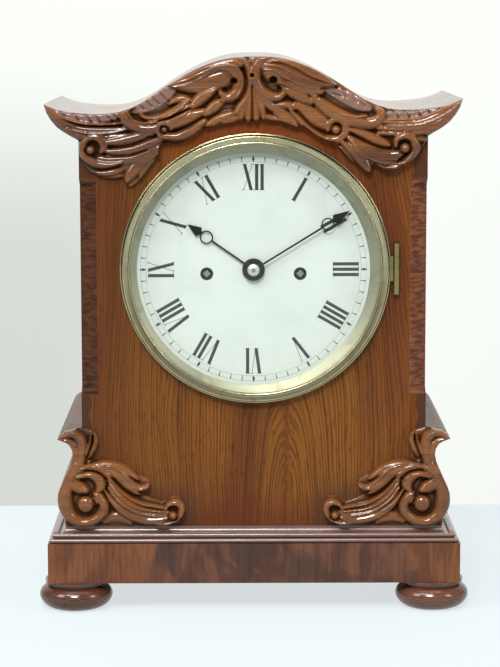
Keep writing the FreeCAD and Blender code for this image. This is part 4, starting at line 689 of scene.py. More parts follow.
# %% [markdown]
# The outline decides where the board ends. Grid points just outside it are pulled onto it, so
# the sawn edge is smooth, and the wood is rounded over a little there. Walls run back to the
# panel, and the back is closed.

# %% Saw out the board
SNAP = 0.8 * GRID
EDGE_REACH = 2.5


def inside_outline(x, z, outline):
    """Which places lie inside a closed outline."""
    inside = np.zeros(x.shape, bool)
    for (ax, az), (bx, bz) in zip(outline, np.roll(outline, -1, 0)):
        if az != bz:
            rows = (z >= min(az, bz)) & (z < max(az, bz))
            inside ^= rows & (x < ax + (z - az) * (bx - ax) / (bz - az))
    return inside


def edge_distance(x, z, outline, reach):
    """How far each place near the outline is from it, and the nearest place on it."""
    far = np.full(x.shape, reach * 2.0)
    nearest = np.stack([x, z], -1)
    for a, b in zip(outline, np.roll(outline, -1, 0)):
        near = within(x, z, np.minimum(a, b) - reach, np.maximum(a, b) + reach)
        run = b - a
        p = np.stack([x[near], z[near]], -1)
        t = np.clip((p - a) @ run / max(run @ run, 1e-9), 0, 1)
        q = a + t[:, None] * run
        d = np.hypot(*(p - q).T)
        closer = d < far[near]
        place = np.flatnonzero(near)[closer]
        far.reshape(-1)[place] = d[closer]
        nearest.reshape(-1, 2)[place] = q[closer]
    return far, nearest


def sawn_board(outline):
    """The grid's places, snapped to the outline, and the squares that are inside it."""
    low, high = outline.min(0) - 2 * GRID, outline.max(0) + 2 * GRID
    x, z = np.meshgrid(np.arange(low[0], high[0], GRID), np.arange(low[1], high[1], GRID))
    inside = inside_outline(x, z, outline)
    far, nearest = edge_distance(x, z, outline, EDGE_REACH)
    pulled = ~inside & (far < SNAP)
    kept = inside | pulled
    whole = kept[:-1, :-1] & kept[1:, :-1] & kept[:-1, 1:] & kept[1:, 1:]
    far[pulled] = 0
    px = np.where(pulled, nearest[..., 0], x)
    pz = np.where(pulled, nearest[..., 1], z)
    return px, pz, np.where(kept, far, 0), whole


print("the board is sawn to within", SNAP, "mm of its outline")

# %% [markdown]
# After the strokes, short cuts of a small gouge mat the low bands. Then the whole is smoothed by
# one grid step. The mark for hollows is the height against a wider blur of itself.

# %% Carve a board
CHANGED = 0.05
CUT_WIDE, CUT_DEEP, CUT_BELOW = 1.0, 2.4, 7.4
HOLLOW_REACH = 2.4
ROUNDED_DEEP, ROUNDED_WIDE = 1.1, 1.6
SHARP = math.radians(50)


def carve(name, outline, strokes, stands_for, cuts=()):
    """A carved piece on the front face, replacing a plain one of the frame."""
    x, z, far, whole = sawn_board(np.asarray(outline))
    heights = np.full(x.shape, GROUND)
    matted = np.zeros(x.shape)
    for kind, top, points in strokes:
        before = heights.copy()
        cut_stroke(x, z, heights, kind, top, points)
        matted[np.abs(heights - before) > CHANGED] = kind == "flat"
    for (ax, az), (bx, bz) in cuts:
        run = np.array([bx - ax, bz - az])
        t = np.clip(((x - ax) * run[0] + (z - az) * run[1]) / (run @ run), 0, 1)
        d = np.hypot(x - ax - t * run[0], z - az - t * run[1])
        heights -= np.clip(1 - d / CUT_WIDE, 0, 1) * CUT_DEEP * (heights < CUT_BELOW)
    heights = softened(heights, 1) if GRID < 0.7 else heights
    hollow = heights - softened(heights, round(HOLLOW_REACH / GRID))
    heights -= ROUNDED_DEEP * np.clip(1 - far / ROUNDED_WIDE, 0, 1) ** 2
    made = close_carving(name, x, z, heights, whole,
                         {"hollow": hollow, "matted": softened(matted, 1)})
    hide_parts(stands_for)


def close_carving(name, x, z, heights, whole, marks):
    """The mesh of a carving: its front, its walls and its back, marked for its finish."""
    number = np.arange(x.size).reshape(x.shape)
    squares = np.stack([number[:-1, :-1], number[:-1, 1:], number[1:, 1:], number[1:, :-1]], -1)
    used, squares = np.unique(squares[whole], return_inverse=True)
    squares = squares.reshape(-1, 4)
    points = np.stack([part.reshape(-1)[used] for part in (x, FRONT_FACE - heights, z)], -1)
    edges = np.concatenate([squares[:, [k, (k + 1) % 4]] for k in range(4)])
    first, times = np.unique(np.sort(edges, 1), axis=0, return_index=True,
                             return_counts=True)[1:]
    rim = edges[first[times == 1]]
    corners = np.unique(rim)
    back = {int(c): len(points) + k for k, c in enumerate(corners)}
    behind = points[corners].copy()
    behind[:, 1] = FRONT_FACE
    walls = [(int(a), int(b), back[int(b)], back[int(a)]) for a, b in rim]
    made = make_piece(name, np.vstack([points, behind]), squares.tolist() + walls, "case",
                      carved_wood, sharp=SHARP)
    fill_back(made.data)
    for mark, values in marks.items():
        values = np.concatenate([values.reshape(-1)[used], np.zeros(len(behind))])
        kept = made.data.attributes.new(mark, "FLOAT", "POINT")
        kept.data.foreach_set("value", values.astype(np.float32))
    print(name, len(made.data.polygons), "faces, highest", round(float(heights.max()), 2), "mm")
    return made


def fill_back(mesh):
    """Closes the open back of a carving."""
    shaped = bmesh.new()
    shaped.from_mesh(mesh)
    loop = [e for e in shaped.edges if e.is_boundary]
    bmesh.ops.triangle_fill(shaped, use_beauty=True, edges=loop)
    shaped.to_mesh(mesh)
    shaped.free()


print("a carving's walls run back to", FRONT_FACE, "mm")

# %% [markdown]
# ## The outlines
#
# The cresting covers the front of the roof: its top edge is the roof's own line, its lower edge
# breaks into leaf tips and turns up at each end into an ear. The tables are shares of the half
# width and of the height above the case's top, and the top of the case leans a little.

# %% Outline of the cresting
crest_line = [
    (0.938, 0.382), (0.88, 0.347), (0.821, 0.332), (0.762, 0.321), (0.704, 0.323), (0.645, 0.342),
    (0.587, 0.388), (0.528, 0.461), (0.469, 0.558), (0.411, 0.658), (0.352, 0.75), (0.293, 0.832),
    (0.235, 0.898), (0.176, 0.95), (0.117, 0.983), (0.059, 0.998)]
ear_tip = (1.0, 0.452)
ear_under = [(0.988, 0.348), (0.968, 0.258), (0.938, 0.167), (0.909, 0.109), (0.88, 0.064)]
left_edge = [
    (0.83, -0.061), (0.83, -0.182), (0.812, -0.303), (0.78, -0.386), (0.745, -0.436),
    (0.704, -0.47), (0.657, -0.47), (0.625, -0.455), (0.613, -0.53), (0.589, -0.582),
    (0.563, -0.545), (0.54, -0.485), (0.516, -0.409), (0.493, -0.333), (0.469, -0.273),
    (0.443, -0.227), (0.452, -0.136), (0.445, -0.06), (0.42, -0.038), (0.381, -0.061),
    (0.34, -0.045), (0.293, 0.03), (0.258, 0.091)]
middle_edge = [(-0.223, 0.139), (-0.164, 0.152), (-0.117, 0.182), (-0.059, 0.2), (0, 0.206),
               (0.059, 0.222), (0.117, 0.208), (0.176, 0.167)]
right_edge = [
    (0.211, 0.129), (0.238, 0.15), (0.264, 0.106), (0.305, 0.023), (0.352, -0.038),
    (0.387, -0.053), (0.411, -0.121), (0.44, -0.212), (0.469, -0.288), (0.504, -0.364),
    (0.54, -0.427), (0.56, -0.439), (0.572, -0.394), (0.575, -0.333), (0.616, -0.394),
    (0.657, -0.432), (0.686, -0.424), (0.695, -0.364), (0.727, -0.333), (0.768, -0.273),
    (0.804, -0.182), (0.821, -0.091), (0.833, -0.015)]
CASE_HALF = 142.6
ROOF_HALF = 170.5
CASE_TOP = 392.0
LEAN = 0.0118
CREST_HIGH = 66.0


def crest_places(shares, side):
    """Places in millimetres from shares of the half width and of the height, on one side."""
    runs = [(side * across * ROOF_HALF, rise * CREST_HIGH) for across, rise in shares]
    return [(x, CASE_TOP + rise + x * LEAN) for x, rise in runs]


def crest_outline():
    """The closed outline, from the left ear over the top and back underneath."""
    half = [ear_tip] + crest_line
    corner = [(CASE_HALF / ROOF_HALF, 0)]
    over = crest_places(half, -1) + crest_places([(0, 1)] + half[::-1], 1)
    right = crest_places(ear_under + corner + right_edge[::-1] + middle_edge[::-1], 1)
    return over + right + crest_places(left_edge[::-1] + corner + ear_under[::-1], -1)


print("the cresting's outline has", len(crest_outline()), "places")

# %% [markdown]
# A corner scroll stands on the plinth's moulding at each side. Its outer edge follows the
# console of the case's side, and its inner edge steps down in two lobes to a small curl.

# %% Outline of a corner scroll
console_edge = [
    (0.699, 0), (0.723, 0.074), (0.845, 0.139), (0.966, 0.218), (1, 0.297), (0.971, 0.376),
    (0.883, 0.442), (0.728, 0.534), (0.578, 0.626), (0.432, 0.718), (0.364, 0.797), (0.388, 0.863),
    (0.515, 0.921), (0.723, 0.953), (0.981, 0.974), (0.869, 1.025), (0.675, 1.061), (0.359, 1.079),
    (0.117, 1.095)]
scroll_edge = [
    (0, 1.105), (0.054, 1.082), (0.112, 1.066), (0.153, 1.034), (0.161, 0.955), (0.136, 0.863),
    (0.089, 0.784), (0.042, 0.747), (0.11, 0.742), (0.206, 0.742), (0.322, 0.732), (0.404, 0.695),
    (0.474, 0.647), (0.533, 0.6), (0.591, 0.555), (0.638, 0.524), (0.661, 0.482), (0.638, 0.432),
    (0.579, 0.405), (0.521, 0.405), (0.579, 0.363), (0.673, 0.308), (0.766, 0.274), (0.819, 0.295),
    (0.871, 0.337), (0.942, 0.332), (0.988, 0.271), (1, 0.192), (0.971, 0.12), (0.918, 0.067),
    (0.825, 0.021), (0.731, 0)]
CASE_BOTTOM = 69.4
CONSOLE_WIDE = 20.7
CONSOLE_HIGH = 76.0
SCROLL_WIDE = 85.8


def scroll_outline(side):
    """The closed outline of the left scroll, or of its mirror image at the right."""
    places = [(CASE_HALF + a * CONSOLE_WIDE, b) for a, b in console_edge]
    places += [(CASE_HALF - a * SCROLL_WIDE, b) for a, b in scroll_edge]
    return [(side * x, CASE_BOTTOM + b * CONSOLE_HIGH) for x, b in places]


print("a corner scroll's outline has", len(scroll_outline(-1)), "places")

# %% [markdown]
# ## The cresting
#
# Two ears of three bands each sweep up at the ends. Under each ear a fan of leaves curls round a
# small volute, a hooked leaf rolls over, and two large scrolls meet in the middle over four
# petals. The halves aren't mirror images: the right one has smooth parallel ribs where the left
# has one broad leaf.
#
# The strokes were drawn on three sheets, one over each part of the carving. A stroke's
# line says its kind and its height in millimetres, and then its places: how far across and down
# the sheet, and how wide to each side. A sheet says where one point of it lies on the clock, and
# how many millimetres its units are across, down and in width.

# %% Read the drawing
LEFT_SHEET = {"point": (0, 0), "lies_at": (-172.9, 471.7), "units": (0.111, 0.111, 0.111)}
RIGHT_SHEET = {"point": (0, 0), "lies_at": (-14.9, 472.5), "units": (0.1254, 0.1254, 0.1254)}
CORNER_SHEET = {"point": (110, 912), "lies_at": (-163.2, 69.4), "units": (0.1214, 0.1285, 0.125)}


def drawn(sheet, lines):
    """Strokes as kind, height and places, to a tenth of a millimetre."""
    (u0, v0), (x0, z0), (across, down, wide) = sheet.values()
    strokes = []
    for line in lines:
        head, run = line.split(":")
        kind, high = head.split()
        places = [[float(n) for n in place.split()] for place in run.split(",")]
        strokes.append((kind, float(high), [
            (round(x0 + (u - u0) * across, 1), round(z0 + (v0 - v) * down, 1), round(w * wide, 1))
            for u, v, w in places]))
    return strokes


print("a unit of the left sheet is", LEFT_SHEET["units"][0], "mm")

# %% Strokes of the left half
crest_left = drawn(LEFT_SHEET, [
    "flat 6.3: 60 478 6, 150 530 16, 250 560 28, 350 572 38, 450 565 44, 560 540 46, 640 515 40",
    "leaf 8: 30 480 6, 90 560 18, 160 625 26, 240 685 28, 340 705 28, 470 712 30, 600 700 30, "
    "720 685 20",
    "leaf 8.8: 30 468 6, 110 555 15, 200 612 20, 300 645 24, 430 655 26, 560 652 26, 680 635 18",
    "ridge 9.7: 26 460 4, 100 528 8, 200 578 10, 320 608 10, 450 614 10, 590 606 8",
    "ridge 9.8: 200 645 5, 300 672 9, 400 682 10, 520 676 10, 620 652 6",
    "leaf 6.6: 400 965 10, 470 972 24, 560 955 26, 640 915 18",
    "leaf 6.8: 850 840 8, 800 900 26, 750 965 28, 725 1010 10",
    "leaf 8.6: 850 830 16, 780 870 34, 710 920 48, 660 975 46, 630 1030 20",
    "leaf 8.6: 880 780 30, 790 830 48, 690 860 52, 590 870 50, 500 875 42, 430 865 30",
    "leaf 9.3: 880 720 30, 790 765 44, 690 795 44, 600 808 38, 510 812 28, 460 808 14",
    "leaf 9.9: 860 655 24, 760 690 40, 660 720 44, 560 738 38, 480 745 24, 450 748 8",
    "leaf 10.3: 600 890 10, 530 905 22, 450 908 32, 380 890 36, 325 845 36, 305 785 34, "
    "330 730 30, 385 705 32, 440 725 42, 462 772 38, 442 815 20",
    "ball 11: 362 803 34",
    "groove 6.4: 352 752 5, 395 768 8, 408 806 9, 388 846 7",
    "groove 5.8: 500 790 6, 600 778 11, 700 755 10, 800 700 6",
    "groove 5.8: 470 850 5, 560 845 10, 660 838 10, 780 800 6",
    "flat 6.4: 660 520 20, 730 490 60, 810 450 80, 890 405 76, 960 370 40",
    "leaf 9.2: 1100 440 14, 1050 425 30, 990 440 28, 940 470 8",
    "leaf 10.4: 728 525 8, 745 556 16, 800 574 24, 880 562 26, 960 525 30, 1040 478 32, "
    "1095 432 14",
    "ridge 11.4: 730 528 4, 750 556 7, 810 570 8, 890 555 8, 975 515 7, 1050 465 5",
    "leaf 11.4: 1110 470 20, 1030 545 40, 930 610 46, 820 645 44, 710 638 46, 630 595 44, "
    "612 540 36, 645 498 24, 690 486 10",
    "ridge 12.3: 640 508 5, 655 556 9, 700 594 11, 780 604 11, 870 586 10, 965 540 9, 1050 485 6",
    "leaf 9.8: 1200 590 24, 1130 645 40, 1050 690 42, 980 705 36, 910 695 32, 868 655 26, "
    "870 612 20, 905 592 18, 938 612 14",
    "leaf 10.6: 1195 520 26, 1120 548 46, 1040 590 46, 975 625 30, 950 655 10",
    "ridge 11.3: 962 650 6, 950 608 11, 908 590 14, 866 612 14, 852 655 14, 872 700 13, "
    "920 718 10",
    "ball 11.2: 905 652 26",
    "groove 6.2: 952 668 5, 1010 662 9, 1090 632 9, 1165 580 4",
    "groove 5.5: 860 590 5, 940 568 9, 1030 530 10, 1110 492 8, 1180 475 5",
    "leaf 7.6: 1480 545 14, 1430 560 26, 1370 575 18",
    "leaf 8.4: 1400 535 20, 1330 565 34, 1260 600 32, 1215 625 12",
    "leaf 9.6: 1340 440 24, 1280 480 44, 1225 525 34, 1200 550 12",
    "leaf 11: 1280 360 20, 1210 400 44, 1150 445 48, 1115 485 28",
    "leaf 10: 950 335 10, 1010 334 32, 1085 330 58, 1165 325 74, 1245 305 84, 1330 280 84",
    "leaf 10.8: 936 330 6, 1020 305 28, 1110 262 44, 1210 222 54, 1310 188 56, 1400 165 44, "
    "1470 180 30",
    "ridge 11.6: 948 324 4, 1050 302 8, 1150 257 9, 1250 213 6",
    "ridge 11.4: 962 344 4, 1060 330 8, 1150 290 8, 1240 242 5",
    "ridge 11.2: 1010 292 4, 1090 256 8, 1180 212 8, 1270 178 5",
    "leaf 10.8: 1430 130 10, 1490 160 28, 1528 222 34, 1534 300 36, 1518 390 36, 1480 460 36, "
    "1425 535 20",
    "ridge 12: 1462 138 5, 1508 178 9, 1535 240 10, 1540 310 7",
    "leaf 11.2: 1230 225 10, 1310 205 30, 1390 215 44, 1440 262 46, 1452 330 46, 1425 395 46, "
    "1365 420 38, 1322 390 24",
    "ridge 12.6: 1245 210 5, 1325 187 9, 1400 188 11, 1458 225 12, 1482 290 12, 1474 355 10, "
    "1440 415 7",
    "hole 2: 1418 300 24",
    "hole 3: 1350 362 19",
    "groove 6: 1408 300 10, 1385 330 12, 1360 352 10",
    "groove 6.6: 1480 185 4, 1503 250 7, 1508 330 8, 1490 405 9, 1440 462 9, 1385 480 8, "
    "1325 458 7, 1300 425 4"])
cuts_left = [
    ((-147, 412.5), (-142, 407)), ((-137, 412), (-131, 404.5)), ((-130, 412), (-124, 405)),
    ((-122, 412.5), (-113, 404.5)), ((-116, 413.5), (-108, 406)), ((-96, 421.5), (-88, 415.5)),
    ((-90, 424.5), (-82, 417.5)), ((-84, 427), (-76, 419.5)), ((-77, 430), (-69, 422)),
    ((-158, 416), (-153, 410.5))]
print("strokes on the left:", len(crest_left))

# %% Strokes of the middle and the right half
crest_middle = drawn(RIGHT_SHEET, [
    "flat 6.9: 118 135 34, 112 190 24, 110 240 8",
    "leaf 7.2: 190 495 14, 240 515 24, 290 530 16",
    "leaf 7.2: 40 500 14, -20 520 24, -80 535 14",
    "leaf 9.4: 98 270 8, 84 350 20, 50 425 32, 15 475 24",
    "leaf 9.4: 125 280 8, 155 350 20, 200 402 34, 232 432 34, 240 455 14",
    "leaf 9: 118 290 8, 150 380 18, 178 460 24, 186 508 18",
    "leaf 9: 106 290 8, 82 380 18, 52 460 24, 40 508 18",
    "leaf 9.8: 108 280 7, 100 370 17, 90 450 26, 86 505 26, 86 520 12",
    "leaf 9.8: 114 280 7, 124 370 17, 134 450 26, 138 505 26, 139 520 12",
    "groove 6: 111 300 3, 112 400 5, 113 515 7",
    "hole 3: 110 236 12"])
crest_right = drawn(RIGHT_SHEET, [
    "flat 6.3: 970 500 30, 1060 500 34, 1160 495 34, 1260 470 28, 1360 435 16, 1450 398 6",
    "leaf 8.2: 930 610 16, 1050 615 20, 1160 610 24, 1260 590 26, 1350 545 22, 1430 470 12, "
    "1472 400 4",
    "leaf 9: 930 578 16, 1060 585 20, 1190 578 22, 1300 545 20, 1390 490 16, 1465 405 5",
    "leaf 9: 940 538 14, 1070 545 18, 1200 535 20, 1310 492 18, 1400 440 12, 1470 395 4",
    "ridge 9.8: 945 560 5, 1070 565 9, 1195 556 10, 1305 518 9, 1400 462 7, 1468 400 3",
    "ridge 9.6: 950 520 5, 1080 522 8, 1200 510 9, 1310 470 8, 1400 425 6",
    "leaf 7.6: 650 676 8, 705 735 22, 762 800 10",
    "leaf 7.8: 870 785 10, 940 822 26, 1035 866 14",
    "leaf 8.6: 740 640 24, 820 710 52, 910 755 60, 1000 765 52, 1070 745 30",
    "leaf 9.6: 740 585 14, 820 610 30, 900 645 36, 970 675 28, 1005 690 10",
    "leaf 9.6: 690 665 16, 755 715 38, 815 775 46, 855 830 38, 866 868 14",
    "ridge 10.2: 742 648 5, 790 710 10, 860 765 11, 950 800 12, 1040 806 10, 1100 795 6",
    "ridge 9.8: 762 640 5, 812 690 8, 880 745 9, 960 778 9, 1050 785 6",
    "leaf 10.4: 960 832 12, 1050 828 24, 1125 790 34, 1170 720 36, 1158 655 32, 1105 625 30, "
    "1050 650 24, 1042 695 14",
    "ball 11.4: 1104 708 34",
    "leaf 7.8: 1170 640 10, 1215 650 20, 1250 660 10",
    "flat 6.5: 570 320 16, 650 350 40, 730 390 50, 810 430 46, 870 455 20",
    "leaf 11: 495 360 16, 555 420 42, 640 482 50, 740 525 48, 840 545 46, 915 535 44, 945 490 36, "
    "920 455 20",
    "ridge 11.9: 545 385 5, 600 440 9, 680 485 11, 765 502 11, 850 498 8",
    "leaf 9.6: 385 420 18, 455 465 50, 530 515 58, 600 560 40",
    "leaf 10.2: 350 450 8, 410 515 22, 480 585 30, 560 640 34, 645 652 36, 708 612 34, 712 550 32, "
    "660 520 28, 608 548 22, 603 592 14",
    "ball 11.2: 655 588 30",
    "groove 5.6: 400 455 5, 460 530 12, 530 590 12, 590 625 8",
    "leaf 9: 230 425 12, 290 475 42, 355 530 44, 398 572 20",
    "leaf 9.8: 265 425 12, 320 425 28, 380 438 26, 408 450 10",
    "leaf 10.6: 300 320 14, 370 350 36, 435 380 42, 490 405 28",
    "leaf 10.2: 170 150 40, 240 195 84, 330 220 90, 420 258 76, 520 292 46, 640 300 12",
    "leaf 10.6: 190 126 14, 300 128 30, 410 165 38, 520 225 36, 610 278 20, 655 298 6",
    "leaf 11: 285 275 14, 370 308 32, 460 335 34, 545 345 22, 575 335 8",
    "leaf 10.6: 200 180 50, 235 235 52, 300 280 30",
    "ridge 12: 208 148 7, 292 144 12, 398 182 13, 500 240 12, 640 294 6",
    "ridge 11.8: 192 170 7, 268 174 12, 360 212 13, 460 258 12, 590 302 6",
    "ridge 11.8: 182 200 7, 257 205 12, 335 255 12, 440 300 12, 545 325 6",
    "leaf 11.4: 290 110 6, 225 118 24, 165 140 38, 134 200 42, 136 270 40, 168 330 40, 225 372 38, "
    "285 375 30, 318 342 20, 300 312 10",
    "groove 7.6: 178 200 4, 172 250 7, 190 300 8, 230 335 7, 265 340 4",
    "hole 1.6: 248 268 27",
    "hole 2.8: 290 322 14",
    "groove 6: 255 285 8, 272 305 9, 290 322 7"])
cuts_right = [
    ((112, 416), (118, 409)), ((121, 416), (127, 409)), ((130, 417), (136, 410)),
    ((139, 417), (145, 411)), ((149, 417.5), (154, 413)), ((66, 434), (76, 425)),
    ((73, 431.5), (84, 421)), ((81, 427), (91, 417.5)), ((64, 428), (72, 426))]
print("strokes in the middle:", len(crest_middle), "and on the right:", len(crest_right))

# %% Carve the cresting
carve("carved_cresting", crest_outline(), crest_left + crest_right + crest_middle, "cresting",
      cuts_left + cuts_right)

# %% [markdown]
# ## The corner scrolls
#
# Each scroll is one bold volute round a large bead, with a leaf that climbs the console's neck,
# two lobes above and a ribbed stem that runs down to a small curl with its own bead.

# %% Carve the corner scrolls
corner_left = drawn(CORNER_SHEET, [
    "leaf 9.8: 140 338 18, 200 360 40, 240 420 46, 240 500 48",
    "leaf 10.6: 112 337 6, 165 310 24, 225 300 34, 272 335 40, 285 395 40, 270 460 40, 250 530 44",
    "ridge 11.6: 150 312 4, 210 288 8, 262 306 10, 296 360 10, 292 430 8",
    "leaf 8.2: 372 290 14, 388 350 28, 362 415 32, 325 480 16",
    "ridge 9.4: 345 298 5, 335 360 9, 312 430 8",
    "ridge 9.4: 371 296 5, 368 360 9, 340 440 8",
    "ridge 9.2: 395 312 5, 397 370 8, 372 432 6",
    "leaf 7.6: 430 878 18, 500 850 42, 570 862 34, 615 890 12",
    "leaf 9.3: 350 500 14, 450 500 30, 550 525 34, 630 572 22, 665 600 8",
    "leaf 10: 380 520 14, 460 530 34, 535 575 42, 600 628 46, 670 668 38, 735 650 26",
    "ridge 11: 400 503 5, 480 510 9, 550 545 10, 600 592 10, 650 630 6",
    "leaf 9: 460 600 12, 515 690 48, 605 775 60, 715 825 60, 845 838 50",
    "leaf 10: 435 672 8, 505 765 26, 600 835 34, 715 868 34, 800 868 30, 865 850 16",
    "ridge 10.7: 482 600 5, 562 688 10, 682 754 11, 838 784 10",
    "ridge 10.6: 470 628 5, 548 718 10, 666 785 11, 838 810 9",
    "ridge 10.4: 458 652 5, 535 745 9, 650 812 10, 790 838 8",
    "leaf 10: 780 880 22, 860 895 28, 930 880 34, 962 825 34, 958 775 30, 915 752 26, 868 768 18, "
    "850 800 8",
    "ball 10.6: 900 838 29",
    "leaf 9.8: 250 545 20, 320 515 26, 400 530 26, 455 570 22, 480 610 10",
    "ridge 10.9: 265 530 6, 330 508 9, 405 520 10, 465 565 8",
    "leaf 11: 250 580 20, 330 565 28, 392 595 42, 408 640 38, 385 675 16",
    "leaf 11.3: 250 500 36, 195 590 48, 162 680 52, 160 765 54, 195 840 48, 265 878 38, "
    "345 872 36, 408 830 38, 430 770 38, 395 710 34, 370 695 20",
    "leaf 10.9: 215 625 50, 262 650 48, 300 672 30",
    "groove 6: 285 612 4, 320 628 9, 342 660 9, 340 690 5",
    "groove 6: 300 535 5, 380 548 10, 430 580 9, 455 620 5",
    "hole 4.2: 305 760 86",
    "leaf 10.6: 400 712 36, 370 735 34, 335 750 26",
    "ball 10.6: 303 762 56"])
corner_right = [(kind, high, [(-x, z, wide) for x, z, wide in places])
                for kind, high, places in corner_left]
carve("carved_left_scroll", scroll_outline(-1), corner_left, "left_corner_scroll")
carve("carved_right_scroll", scroll_outline(1), corner_right, "right_corner_scroll")

# %% [markdown]
# ## The dial's figures
#
# The hours are Roman figures set radially, with their feet towards the centre and IIII for four.
# Each figure has heavy strokes, hair strokes and fine serifs. Round them runs a double minute
# circle with a mark for each minute and a lozenge at each hour. They're black paint, so each is
# a very thin raised piece on the dial.

# %% Figures from strokes
DIAL_FACE = -88.75
PAINT = 0.05
FIGURE_FOOT, FIGURE_HIGH = 65.6, 21.4
HEAVY, HAIR = 2.7, 0.42
SERIF = 0.42
STEM_SERIF, HEAVY_SERIF, HAIR_SERIF = HEAVY + 1.3, HEAVY + 1.2, 2.4
WIDE = {"I": 2.7, "V": 8.2, "X": 8.2}
GAP = 1.75
FIGURES = ["XII", "I", "II", "III", "IIII", "V", "VI", "VII", "VIII", "IX", "X", "XI"]


def slanted(foot, head, wide):
    """A stroke from its foot to its head, with level ends."""
    half = wide / 2
    return [(foot - half, 0.0), (foot + half, 0.0), (head + half, FIGURE_HIGH),
            (head - half, FIGURE_HIGH)]


def serif(middle, at_top, wide):
    """A hairline across the end of a stroke."""
    v = FIGURE_HIGH - SERIF if at_top else 0.0
    return [(middle - wide / 2, v), (middle + wide / 2, v),
            (middle + wide / 2, v + SERIF), (middle - wide / 2, v + SERIF)]


def figure_strokes(letter):
    """The strokes of one letter, with its middle at 0."""
    lean = WIDE[letter] / 2 - HEAVY / 2
    out = WIDE[letter] / 2 - HAIR
    if letter == "I":
        return [slanted(0, 0, HEAVY), serif(0, True, STEM_SERIF), serif(0, False, STEM_SERIF)]
    tops = serif(-lean, True, HEAVY_SERIF), serif(out, True, HAIR_SERIF)
    if letter == "V":
        return [slanted(0.2, -lean, HEAVY), slanted(0.5, out, HAIR), *tops]
    return [slanted(lean, -lean, HEAVY), slanted(-out, out, HAIR), tops[0],
            serif(lean, False, HEAVY_SERIF), tops[1], serif(-out, False, HAIR_SERIF)]


def figure_outlines(text):
    """The outlines of a whole figure, side by side about 0."""
    at = -(sum(WIDE[c] for c in text) + GAP * (len(text) - 1)) / 2
    outlines = []
    for letter in text:
        middle = at + WIDE[letter] / 2
        outlines += [[(u + middle, v) for u, v in stroke] for stroke in figure_strokes(letter)]
        at += WIDE[letter] + GAP
    return outlines


print("XII is", round(WIDE["X"] + 2 * WIDE["I"] + 2 * GAP, 1), "mm wide")

# %% Paint the figures and the minute circle
RINGS = (88.9, 93.3)
RING_HALF = 0.08
RING_PARTS = 240
MINUTE_FOOT, MINUTE_HEAD = 0.16, 0.5
LOZENGE_HALF, LOZENGE_DOWN, LOZENGE_UP = 1.15, 0.6, 0.9


def on_dial(u, radius, angle):
    """A place on the dial from its distance along and out from the centre line at an angle."""
    sine, cosine = math.sin(angle), math.cos(angle)
    return (DIAL_CENTRE[0] + radius * sine + u * cosine,
            DIAL_CENTRE[2] + radius * cosine - u * sine)


def paint_outlines(name, outlines):
    """Thin prisms of paint from flat outlines of (x, z), all in one piece."""
    points, faces = [], []
    for outline in outlines:
        first, count = len(points), len(outline)
        for y in (DIAL_FACE - PAINT, DIAL_FACE + PAINT):
            points += [(x, y, z) for x, z in outline]
        faces.append(list(range(first, first + count)))
        faces.append(list(range(first + 2 * count - 1, first + count - 1, -1)))
        for k in range(count):
            after = (k + 1) % count
            faces.append((first + k, first + after, first + count + after, first + count + k))
    make_piece(name, points, faces, "case", black_paint_and_hole_shade, smooth=False)


def ring_outlines(radius):
    """A hairline circle as short four-sided outlines, end to end."""
    angles = [2 * math.pi * k / RING_PARTS for k in range(RING_PARTS + 1)]
    inner, outer = radius - RING_HALF, radius + RING_HALF
    return [[on_dial(0, inner, a), on_dial(0, inner, b), on_dial(0, outer, b),
             on_dial(0, outer, a)] for a, b in zip(angles, angles[1:])]


figure_places = []
for hour, text in enumerate(FIGURES):
    angle = math.radians(30 * hour)
    for stroke in figure_outlines(text):
        figure_places.append([on_dial(u, FIGURE_FOOT + v, angle) for u, v in stroke])
paint_outlines("hour_figures", figure_places)

inner, outer = RINGS
minute_mark = [(-MINUTE_FOOT, inner), (MINUTE_FOOT, inner), (MINUTE_HEAD, outer),
               (-MINUTE_HEAD, outer)]
lozenge = [(0, inner - LOZENGE_DOWN), (LOZENGE_HALF, sum(RINGS) / 2), (0, outer + LOZENGE_UP),
           (-LOZENGE_HALF, sum(RINGS) / 2)]
marks = ring_outlines(inner) + ring_outlines(outer)
for minute in range(60):
    angle = math.radians(6 * minute)
    marks.append([on_dial(u, radius, angle) for u, radius in
                  (minute_mark if minute % 5 else lozenge)])
paint_outlines("minute_circle", marks)
print("strokes:", len(figure_places), "marks:", len(marks))

# %% [markdown]
# ## The bezel
#
# The bezel is turned from cast brass. From inside out it has a small bead at the sight edge, a
# quirk, a broad band that slopes in towards the glass, a deep groove and a bead at the rim. The
# beads are only a millimetre or two wide, so each one shows as one bright line. The profile is
# drawn once as distances from the centre and from the panel, and turned round.

# %% Turn the bezel
ARC_PLACES = 8
TURNED_PARTS, HOLE_SHADE_PARTS = 288, 48
TURNED_SHARP = math.radians(32)


def arc(middle, radius, start, stop):
    """Places on part of a circle, for a profile; angles are in degrees from straight out."""
    angles = np.radians(np.linspace(start, stop, ARC_PLACES))
    return [(middle[0] + radius * math.cos(a), middle[1] - radius * math.sin(a)) for a in angles]


def turned_piece(name, profile, centre, body, material, parts):
    """A closed profile of (radius, depth) turned round a line that runs front to back."""
    x, y, z = centre
    points, faces = [], []
    count = len(profile)
    for k in range(parts):
        angle = 2 * math.pi * k / parts
        points += [(x + r * math.sin(angle), y + d, z + r * math.cos(angle)) for r, d in profile]
        a, b = k * count, (k + 1) % parts * count
        faces += [(a + i, a + (i + 1) % count, b + (i + 1) % count, b + i) for i in range(count)]
    made = make_piece(name, points, faces, body, material, sharp=TURNED_SHARP)
    return made


